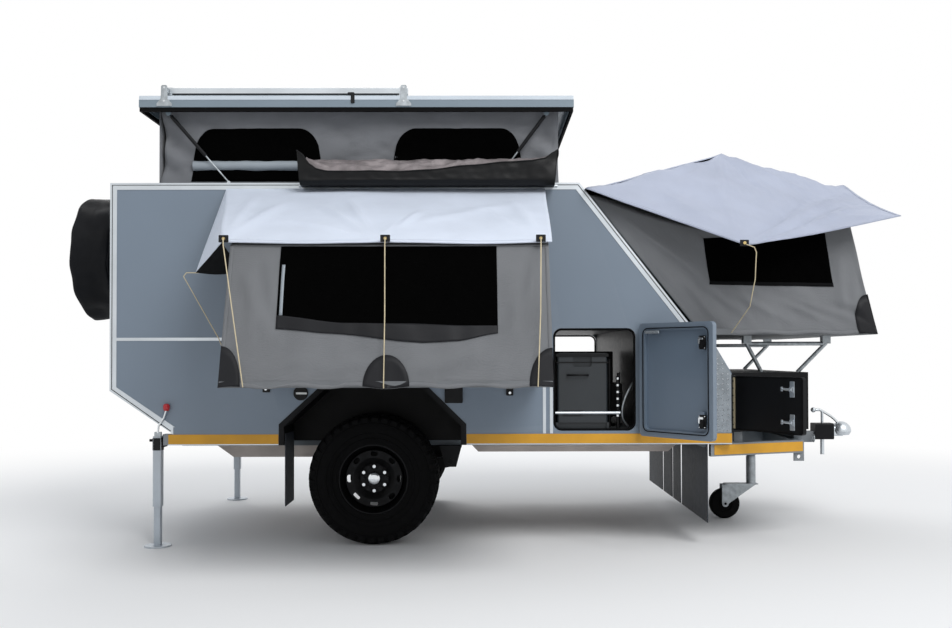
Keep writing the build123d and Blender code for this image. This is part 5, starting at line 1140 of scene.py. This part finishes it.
frame_low, frame_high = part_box("chassis_frame")
arch_low, arch_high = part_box("wheel_arch_right")
wall_half = frame_high.y
BAND = 0.0022
BAND_HEIGHT = 0.056

# Bands of yellow paint along the sills and the drawbar, with a pale line under the sills' one.
for side, s in SIDES:
    face = s * (wall_half + BAND / 2)
    runs = [(frame_low.x + 0.03, arch_low.x - 0.002), (arch_high.x + 0.002, frame_high.x - 0.002)]
    for name, z, thickness, height, finish, bevel in (("band", 0.036, BAND, BAND_HEIGHT, yellow_paint, 0.0005),
                                                      ("line", 0.0045, BAND * 1.6, 0.006, aluminium, 0.001)):
        blocks(f"sill_{name}_{side}", [(((a + b) / 2, face, z), (b - a, thickness, height)) for a, b in runs],
               finish, "trailer", bevel)
    drawbar_start, drawbar_end = Vector((-1.130, s * 0.965, 0)), Vector((-0.500, s * 0.725, 0))
    length = (drawbar_end - drawbar_start).length
    along = (drawbar_end - drawbar_start) / length
    turn = axes(drawbar_start, along, UP, Vector((-s * along.y, s * along.x, 0)))
    blocks(f"drawbar_band_{side}", [((length * 0.51, -0.036, 0.0012), (length * 0.95, 0.058, BAND))], yellow_paint,
           "trailer", 0.0005, turn)


# Chequered plate over the nose and its corners: raised lozenges, set alternately.
TREAD_PITCH = 0.030
LOZENGE = ((-0.45, 0, 0), (0, -0.13, 0), (0.45, 0, 0), (0, 0.13, 0), (-0.25, 0, 1), (0.25, 0, 1))
LOZENGE_FACES = ((0, 1, 4), (1, 5, 4), (1, 2, 5), (2, 3, 5), (3, 4, 5), (3, 0, 4))


def tread(name, inside, low, high, turn):
    """Lozenges on a local plane between two corners, where inside(a, b) holds."""
    points, faces = [], []
    columns, rows = (int((high[i] - low[i]) / TREAD_PITCH) for i in (0, 1))
    for i in range(columns):
        for j in range(rows):
            a, b = low[0] + (i + 0.5) * TREAD_PITCH, low[1] + (j + 0.5) * TREAD_PITCH
            if not inside(a, b):
                continue
            angle = pi / 4 if (i + j) % 2 else -pi / 4
            faces += [tuple(len(points) + k for k in f) for f in LOZENGE_FACES]
            points += [(a + TREAD_PITCH * (p * cos(angle) - q * sin(angle)),
                        b + TREAD_PITCH * (p * sin(angle) + q * cos(angle)), 0.0018 + 0.0028 * h)
                       for p, q, h in LOZENGE]
    mesh = bpy.data.meshes.new(name)
    mesh.from_pydata(points, [], faces)
    set_in(mesh, turn)
    return shown(name, mesh, tread_plate, "trailer", smooth=False)


corner_outline = [(-1.136, 0.068), (-1.007, 0.068), (-1.007, 0.408), (-1.119, 0.597), (-1.136, 0.600)]


def in_corner(a, b):
    """Whether a lozenge's centre lies on the corner plate, clear of its edges."""
    return -1.128 < a < -1.014 and 0.075 < b < min(0.59, 0.40 + (-1.012 - a) * 1.68)


for side, s in SIDES:
    turn = side_axes(s * wall_half, s)
    plates(f"corner_plate_{side}", [corner_outline], 0.002, tread_base, "trailer", turn, 0.0005)
    tread(f"corner_tread_{side}", in_corner, (-1.136, 0.068), (-1.007, 0.60), turn)
    # A black bar down the plate's front edge: painted shadow where the plate turns round the nose.
    edge = [(-1.006, s * (wall_half + 0.001), z) for z in (0.068, 0.41)]
    bars(f"corner_plate_edge_{side}", [edge], 0.005, black_plastic, "trailer")
nose_turn = axes(Vector((frame_high.x, 0, 0)), Vector((0, 1, 0)), UP, FORWARD)
tread("nose_tread", lambda a, b: True, (-0.93, 0.08), (0.93, 0.40), nose_turn)


# Doors: gaskets, latches and hinge plates, each in its door's own axes.
def rounded_loop(a0, b0, a1, b1, radius, height=0.0, steps=6):
    """Closed path round a rectangle with rounded corners."""
    path = []
    for ca, cb, start in ((a1 - radius, b0 + radius, -pi / 2), (a1 - radius, b1 - radius, 0),
                          (a0 + radius, b1 - radius, pi / 2), (a0 + radius, b0 + radius, pi)):
        angles = [start + pi / 2 * k / steps for k in range(steps + 1)]
        path += [(ca + radius * cos(t), cb + radius * sin(t), height) for t in angles]
    return path


def on_door(node, hinge, angle, s):
    """Axes of an open door, along from its hinge, up, and out of the face that shows; and its reach."""
    along = Vector((cos(radians(angle)), s * sin(radians(angle)), 0))
    out = Vector((-along.y * s, along.x * s, 0))
    base = Vector((hinge[0], s * hinge[1], 0))
    origin = base + out * (span(node, out)[1] - base.dot(out))
    return axes(origin, along, UP, out), [r - base.dot(along) for r in span(node, along)]


def screws(name, places, radius, finish, body, turn, dome=0.3):
    """Low domed screw heads on a local plane."""
    return discs(name, places, radius, 0.003, finish, body, 12, UP, dome, turn)


HATCH_HINGE, HATCH_ANGLE = (-1.541, 1.013), 52.4
NOSE_HINGE, NOSE_ANGLE = (-0.968, 0.874), 59.6

for side, s in SIDES:
    body = f"hatch_door_{side}_body"
    turn, reach = on_door(f"hatch_door_{side}", HATCH_HINGE, HATCH_ANGLE, s)
    low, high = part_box(f"hatch_door_{side}")
    a0, a1, b0, b1 = reach[0] + 0.030, reach[1] - 0.030, low.z + 0.030, high.z - 0.030
    bars(f"hatch_gasket_{side}", [rounded_loop(a0, b0, a1, b1, 0.035, -0.002)], 0.0028, rubber, body, closed=True,
         turn=turn)
    a = a1 - 0.035
    for k, z in enumerate((b1 - 0.085, b0 + 0.075)):
        blocks(f"hatch_latch_base_{side}_{k}", [((a, z, 0.002), (0.048, 0.075, 0.008)),
                                                ((a, z - 0.012, 0.009), (0.030, 0.040, 0.010))],
               black_plastic, body, 0.003, turn)
        blocks(f"hatch_latch_metal_{side}_{k}", [((a - 0.004, z + 0.020, 0.010), (0.032, 0.012, 0.010)),
                                                 ((a - 0.016, z + 0.006, 0.013), (0.010, 0.030, 0.006))],
               chrome, body, 0.002, turn)
        screws(f"hatch_latch_screws_{side}_{k}",
               [(a + p, z + q, 0.008) for p in (-0.018, 0.018) for q in (-0.03, 0.03)], 0.0035, chrome, body, turn)
    blocks(f"hatch_hinge_plate_{side}", [((a0 + 0.075, b1 - 0.022, 0.003), (0.110, 0.018, 0.006))], aluminium, body,
           0.002, turn)
    screws(f"hatch_hinge_screws_{side}", [(a0 + 0.035 + 0.027 * k, b1 - 0.022, 0.007) for k in range(4)], 0.0035,
           chrome, body, turn)

    body = f"nose_door_{side}_body"
    turn, reach = on_door(f"nose_door_{side}", NOSE_HINGE, NOSE_ANGLE, s)
    low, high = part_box(f"nose_door_{side}")
    height = high.z - low.z
    blocks(f"nose_hinge_strip_{side}", [((0.018, (low.z + high.z) / 2, 0.001), (0.030, height - 0.012, 0.003))],
           cream_rod, body, 0.001, turn)
    screws(f"nose_hinge_screws_{side}", [(0.018, low.z + 0.03 + k * (height - 0.06) / 6, 0.003) for k in range(7)],
           0.005, black_steel, body, turn, 0.2)
    for k, z in enumerate((high.z - 0.068, low.z + 0.068)):
        a = reach[1] - 0.075
        blocks(f"nose_latch_{side}_{k}", [((a, z, 0.002), (0.034, 0.090, 0.006)),
                                          ((a, z, 0.010), (0.024, 0.030, 0.016))], aluminium, body, 0.003, turn)
        bars(f"nose_latch_handle_{side}_{k}", [[(a + 0.006, z, 0.020), (a - 0.020, z, 0.022),
                                               (a - 0.055, z + 0.002, 0.022)]], 0.007, aluminium, body, turn=turn)
        blocks(f"nose_latch_grip_{side}_{k}", [((a - 0.056, z + 0.001, 0.022), (0.014, 0.028, 0.012))], aluminium,
               body, 0.003, turn)
    rim = rounded_loop(reach[0] + 0.008, low.z + 0.006, reach[1] - 0.008, high.z - 0.006, 0.012)
    bars(f"nose_door_edge_{side}", [rim], 0.003, rubber, body, closed=True, turn=turn)


# Kitchen opening: a rubber gasket round it, the fridge's slide and trim, pipes and a hose.
for side, s in SIDES:
    bars(f"hatch_seal_{side}", [rounded_loop(-2.051, 0.088, -1.579, 0.677, 0.045, -0.010)], 0.0065, rubber, "trailer",
         closed=True, turn=side_axes(s * wall_half, s))
fridge_low, fridge_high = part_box("fridge")
turn = side_axes(fridge_low.y, -1)
fridge_middle, fridge_width = (fridge_low.x + fridge_high.x) / 2, fridge_high.x - fridge_low.x
blocks("fridge_trim", [((fridge_middle, fridge_high.z - 0.055, 0.001), (fridge_width - 0.006, 0.008, 0.004)),
                       ((fridge_middle, fridge_high.z - 0.012, 0.003), (fridge_width - 0.004, 0.018, 0.008))]
       + [((fridge_low.x + 0.10, fridge_low.z + z, 0.001), (0.12, 0.004, 0.003)) for z in (0.085, 0.100, 0.115)],
       black_plastic, "trailer", 0.0015, turn)
handle = [(fridge_low.x + a, fridge_high.z - 0.13, out)
          for a, out in ((0.07, 0.002), (0.07, 0.018), (0.19, 0.018), (0.19, 0.002))]
bars("fridge_handle", [handle], 0.006, black_plastic, "trailer", turn=turn)
bars("fridge_slide", [[(x, -0.938, 0.184) for x in (-2.050, -1.660)]], 0.009, aluminium, "trailer")
pipe_tops = ((-1.668, -0.90, 0.40), (-1.655, -0.84, 0.42), (-1.705, -0.80, 0.50))
bars("kitchen_pipes", [[(x, y, 0.090), (x, y, top)] for x, y, top in pipe_tops], 0.010, black_plastic, "trailer")
bars("kitchen_pipe_rings", [[(*pipe_tops[0][:2], z), (*pipe_tops[0][:2], z + 0.012)]
                            for z in (0.16, 0.22, 0.26, 0.30, 0.34, 0.38)], 0.013, chrome, "trailer")
bars("kitchen_hose", [((-1.60, -0.86, 0.100), (-1.635, -0.88, 0.13), (-1.645, -0.90, 0.20),
                       (-1.625, -0.91, 0.28), (-1.59, -0.90, 0.34), (-1.572, -0.86, 0.36))],
     0.006, galvanised, "trailer", round_path=True)
blocks("kitchen_panel", [((-1.80, -0.20, 0.33), (0.40, 0.012, 0.44)), ((-1.66, -0.55, 0.25), (0.10, 0.30, 0.20))],
       liner_black, "trailer", 0.004)


# Pop-top: a pale strip along the upper edge as painted highlight, a clip, cast rack brackets with bolts, and the
# rack's slots.
roof_low, roof_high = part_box("roof_panel")
rack_low, rack_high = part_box("roof_rack")
top, foot = rack_high.z, roof_high.z - 0.062
half_bracket = [(0.045, foot), (0.045, foot + 0.014), (0.020, foot + 0.045), (0.018, top - 0.006), (0.012, top)]
bracket_outline = half_bracket + [(-a, b) for a, b in half_bracket[::-1]]
for side, s in SIDES:
    # A pale strip along the top of the roof's side: painted highlight where the edge catches the light from above.
    blocks(f"roof_edge_highlight_{side}", [(((roof_low.x + roof_high.x) / 2, s * (roof_high.y + 0.0008), roof_high.z - 0.013),
                                  (roof_high.x - roof_low.x - 0.004, 0.003, 0.024))], roof_highlight_paint, "roof_body", 0.001)
    for k, x in enumerate((rack_low.x + 0.02, rack_high.x - 0.02)):
        turn = side_axes(s * (roof_high.y + 0.0015), s, x)
        plates(f"rack_bracket_{side}_{k}", [bracket_outline], 0.004, galvanised, "roof_body", turn, 0.001)
        discs(f"rack_bolts_{side}_{k}", [(0, foot + 0.030, 0.0042), (0, top - 0.014, 0.0042)], 0.007, 0.002, chrome,
              "roof_body", 6, UP, 0.1, turn)
        blocks(f"rack_arm_{side}_{k}", [((0, (top + roof_high.z) / 2 + 0.006, -0.024), (0.030, 0.036, 0.052))],
               galvanised, "roof_body", 0.004, turn)
    blocks(f"roof_clip_{side}", [((-3.235, s * (roof_high.y + 0.004), roof_high.z - 0.020), (0.022, 0.008, 0.052)),
                                 ((-3.245, s * (roof_high.y + 0.002), roof_high.z + 0.010), (0.040, 0.012, 0.018))],
           black_plastic, "roof_body", 0.003)
    blocks(f"rack_slot_{side}", [(((rack_low.x + rack_high.x) / 2, s * (rack_high.y + 0.0006), rack_low.z + 0.022),
                                  (rack_high.x - rack_low.x - 0.10, 0.0016, 0.009))],
           black_plastic, "roof_body", 0.0005)
lid_low, lid_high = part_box("vent_lid")
LID_EDGE = 0.006
lid_loop = rounded_loop(lid_low.x + LID_EDGE, lid_low.y + LID_EDGE, lid_high.x - LID_EDGE, lid_high.y - LID_EDGE,
                        0.03, lid_low.z + LID_EDGE)
bars("vent_lid_edge", [lid_loop], 0.005, brown_edge, "roof_body", closed=True)


# Rear legs: black caps, and levers with red knobs.
for side, s in SIDES:
    blocks(f"leg_cap_{side}", [((-4.388, s * 0.930, 0.006), (0.054, 0.054, 0.084))], black_plastic,
           f"rear_leg_{side}_body", 0.006)
    y = s * (wall_half + 0.012)
    lever = [(x, y + s * out, z) for x, out, z in ((-4.372, 0, 0.075), (-4.368, 0, 0.115), (-4.335, 0.004, 0.165),
                                                   (-4.322, 0.006, 0.205))]
    bars(f"leg_lever_{side}", [lever], 0.006, chrome, "trailer")
    turned(f"leg_knob_{side}", [(0.0, -0.022), (0.014, -0.020), (0.019, -0.006), (0.019, 0.010), (0.012, 0.020),
                                (0.0, 0.022)], (-4.320, y + s * 0.006, 0.225), UP, red_knob, "trailer", 24)
    blocks(f"leg_lever_base_{side}", [((-4.372, s * (wall_half + 0.006), 0.068), (0.040, 0.018, 0.026))], galvanised,
           "trailer", 0.002)

# Filler cap's bar, and bolts on the black plates.
for side, s in SIDES:
    y = s * (wall_half + 0.0155)
    blocks(f"filler_bar_{side}", [((-3.533, y, 0.305), (0.064, 0.006, 0.012))], white_plastic, "trailer", 0.002)
    discs(f"plate_bolts_{side}", [(-3.742, y, 0.330), (-2.313, y, 0.305)], 0.010, 0.006, chrome, "trailer", 20,
          (0, s, 0))

# Coupling: a bright lever, and a safety chain's ring each side.
bars("coupling_lever", [((-0.020, 0, 0.052), (-0.045, 0, 0.085), (-0.100, 0, 0.120), (-0.150, 0, 0.150),
                         (-0.165, 0, 0.152))], 0.009, chrome, "trailer", round_path=True)
for side, s in SIDES:
    ring = [(-0.215, s * 0.070 + 0.018 * cos(k * pi / 6), -0.045 + 0.022 * sin(k * pi / 6)) for k in range(12)]
    bars(f"coupling_ring_{side}", [ring], 0.005, galvanised, "trailer", closed=True)

# Wheels: bright caps and nuts over the black rims.
NUT_CIRCLE = 0.072
for side, s in SIDES:
    low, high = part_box(f"hub_{side}")
    centre = Vector(((low.x + high.x) / 2, high.y if s > 0 else low.y, (low.z + high.z) / 2))
    turned(f"hub_cap_{side}", [(0.040, -0.030), (0.039, -0.006), (0.034, 0.002), (0.020, 0.006), (0.0, 0.007)],
           centre, (0, s, 0), chrome, f"wheel_{side}_body", 48)
    nuts = [(centre.x + NUT_CIRCLE * cos(t), centre.y - s * 0.018, centre.z + NUT_CIRCLE * sin(t))
            for t in (pi / 6 + k * pi / 3 for k in range(6))]
    discs(f"wheel_nuts_{side}", nuts, 0.012, 0.018, chrome, f"wheel_{side}_body", 6, (0, s, 0), 0.15)

# Dark joint lines between the walls and their bright edge trims.
trim_path = ((-4.300, 0.085), (-4.646, 0.330), (-4.646, 1.529), (-1.908, 1.529), (-1.192, 0.606))
for side, s in SIDES:
    bars(f"trim_line_{side}", [[(x, s * 0.9785, z) for x, z in trim_path]], 0.0022, rubber, "trailer")


# Camera, at the photograph's place and angle.
camera_data = bpy.data.cameras.new("camera")
camera_data.lens = 36.44
camera_data.sensor_width = 36
camera_data.shift_x = -0.0098
camera_data.shift_y = 0.0279
camera = bpy.data.objects.new("camera", camera_data)
camera.location = (-2.487, -6.638, 0.525)
camera.rotation_euler = (radians(90.88), radians(0.11), radians(-0.31))
bpy.context.scene.collection.objects.link(camera)
bpy.context.scene.camera = camera


# Light: an even white surround, a large soft lamp over the camera's shoulder and a weaker one behind.
def white_to_camera(nodes, links):
    """Factor that is 1 for camera, glossy and transmission rays."""
    path = nodes.new("ShaderNodeLightPath")
    first, second = (nodes.new("ShaderNodeMath") for _ in range(2))
    first.operation = second.operation = "MAXIMUM"
    links.new(path.outputs["Is Camera Ray"], first.inputs[0])
    links.new(path.outputs["Is Glossy Ray"], first.inputs[1])
    links.new(first.outputs["Value"], second.inputs[0])
    links.new(path.outputs["Is Transmission Ray"], second.inputs[1])
    return second.outputs["Value"]


world = bpy.data.worlds.new("studio")
world.use_nodes = True
bpy.context.scene.world = world
nodes, links = world.node_tree.nodes, world.node_tree.links
nodes["Background"].inputs["Color"].default_value = (0.93, 0.96, 1.0, 1)
nodes["Background"].inputs["Strength"].default_value = 0.55
shown_white = nodes.new("ShaderNodeBackground")
shown_white.inputs["Color"].default_value = (1, 1, 1, 1)
mix = nodes.new("ShaderNodeMixShader")
links.new(white_to_camera(nodes, links), mix.inputs["Fac"])
links.new(nodes["Background"].outputs["Background"], mix.inputs[1])
links.new(shown_white.outputs["Background"], mix.inputs[2])
links.new(mix.outputs["Shader"], nodes["World Output"].inputs["Surface"])


LAMP_SIZE = 6.0
TRAILER_MIDDLE = Vector((-2.6, 0, 0.8))


def lamp(name, place, energy):
    """A large soft lamp that looks at the trailer's middle."""
    data = bpy.data.lights.new(name, "AREA")
    data.shape = "RECTANGLE"
    data.size = data.size_y = LAMP_SIZE
    data.energy = energy
    obj = bpy.data.objects.new(name, data)
    obj.location = place
    obj.rotation_euler = (TRAILER_MIDDLE - Vector(place)).to_track_quat("-Z", "Y").to_euler()
    bpy.context.scene.collection.objects.link(obj)


lamp("key", (1.5, -7.5, 8.5), 780)
lamp("back", (-5.0, 7.0, 7.0), 350)

bpy.context.scene.view_settings.view_transform = "Standard"

# Floor: plain and pale, fading to the white surround.
floor_finish = bpy.data.materials.new("studio_floor")
floor_finish.use_nodes = True
nodes, links = floor_finish.node_tree.nodes, floor_finish.node_tree.links
floor_shader = nodes["Principled BSDF"]
floor_shader.inputs["Base Color"].default_value = (0.9, 0.9, 0.9, 1)
floor_shader.inputs["Roughness"].default_value = 0.9
floor_shader.inputs["Specular IOR Level"].default_value = 0.1
centre = nodes.new("ShaderNodeVectorMath")
centre.operation = "DISTANCE"
centre.inputs[1].default_value = (-2.5, 0, GROUND)
fade = nodes.new("ShaderNodeMapRange")
fade.interpolation_type = "SMOOTHSTEP"
fade.inputs["From Min"].default_value = 3.4
fade.inputs["From Max"].default_value = 7.5
links.new(nodes.new("ShaderNodeNewGeometry").outputs["Position"], centre.inputs[0])
links.new(centre.outputs["Value"], fade.inputs["Value"])
seen = nodes.new("ShaderNodeMath")
seen.operation = "MULTIPLY"
links.new(fade.outputs["Result"], seen.inputs[0])
links.new(white_to_camera(nodes, links), seen.inputs[1])
plain_white = nodes.new("ShaderNodeEmission")
blend = nodes.new("ShaderNodeMixShader")
links.new(seen.outputs["Value"], blend.inputs["Fac"])
links.new(floor_shader.outputs["BSDF"], blend.inputs[1])
links.new(plain_white.outputs["Emission"], blend.inputs[2])
links.new(blend.outputs["Shader"], nodes["Material Output"].inputs["Surface"])
floor_mesh = bpy.data.meshes.new("studio_floor")
FLOOR_REACH = 60.0
floor_corners = [(FLOOR_REACH * x, FLOOR_REACH * y, GROUND - 0.001) for x, y in ((-1, -1), (1, -1), (1, 1), (-1, 1))]
floor_mesh.from_pydata(floor_corners, [], [(0, 1, 2, 3)])
floor_mesh.materials.append(floor_finish)
studio_floor = bpy.data.objects.new("studio_floor", floor_mesh)
bpy.context.scene.collection.objects.link(studio_floor)
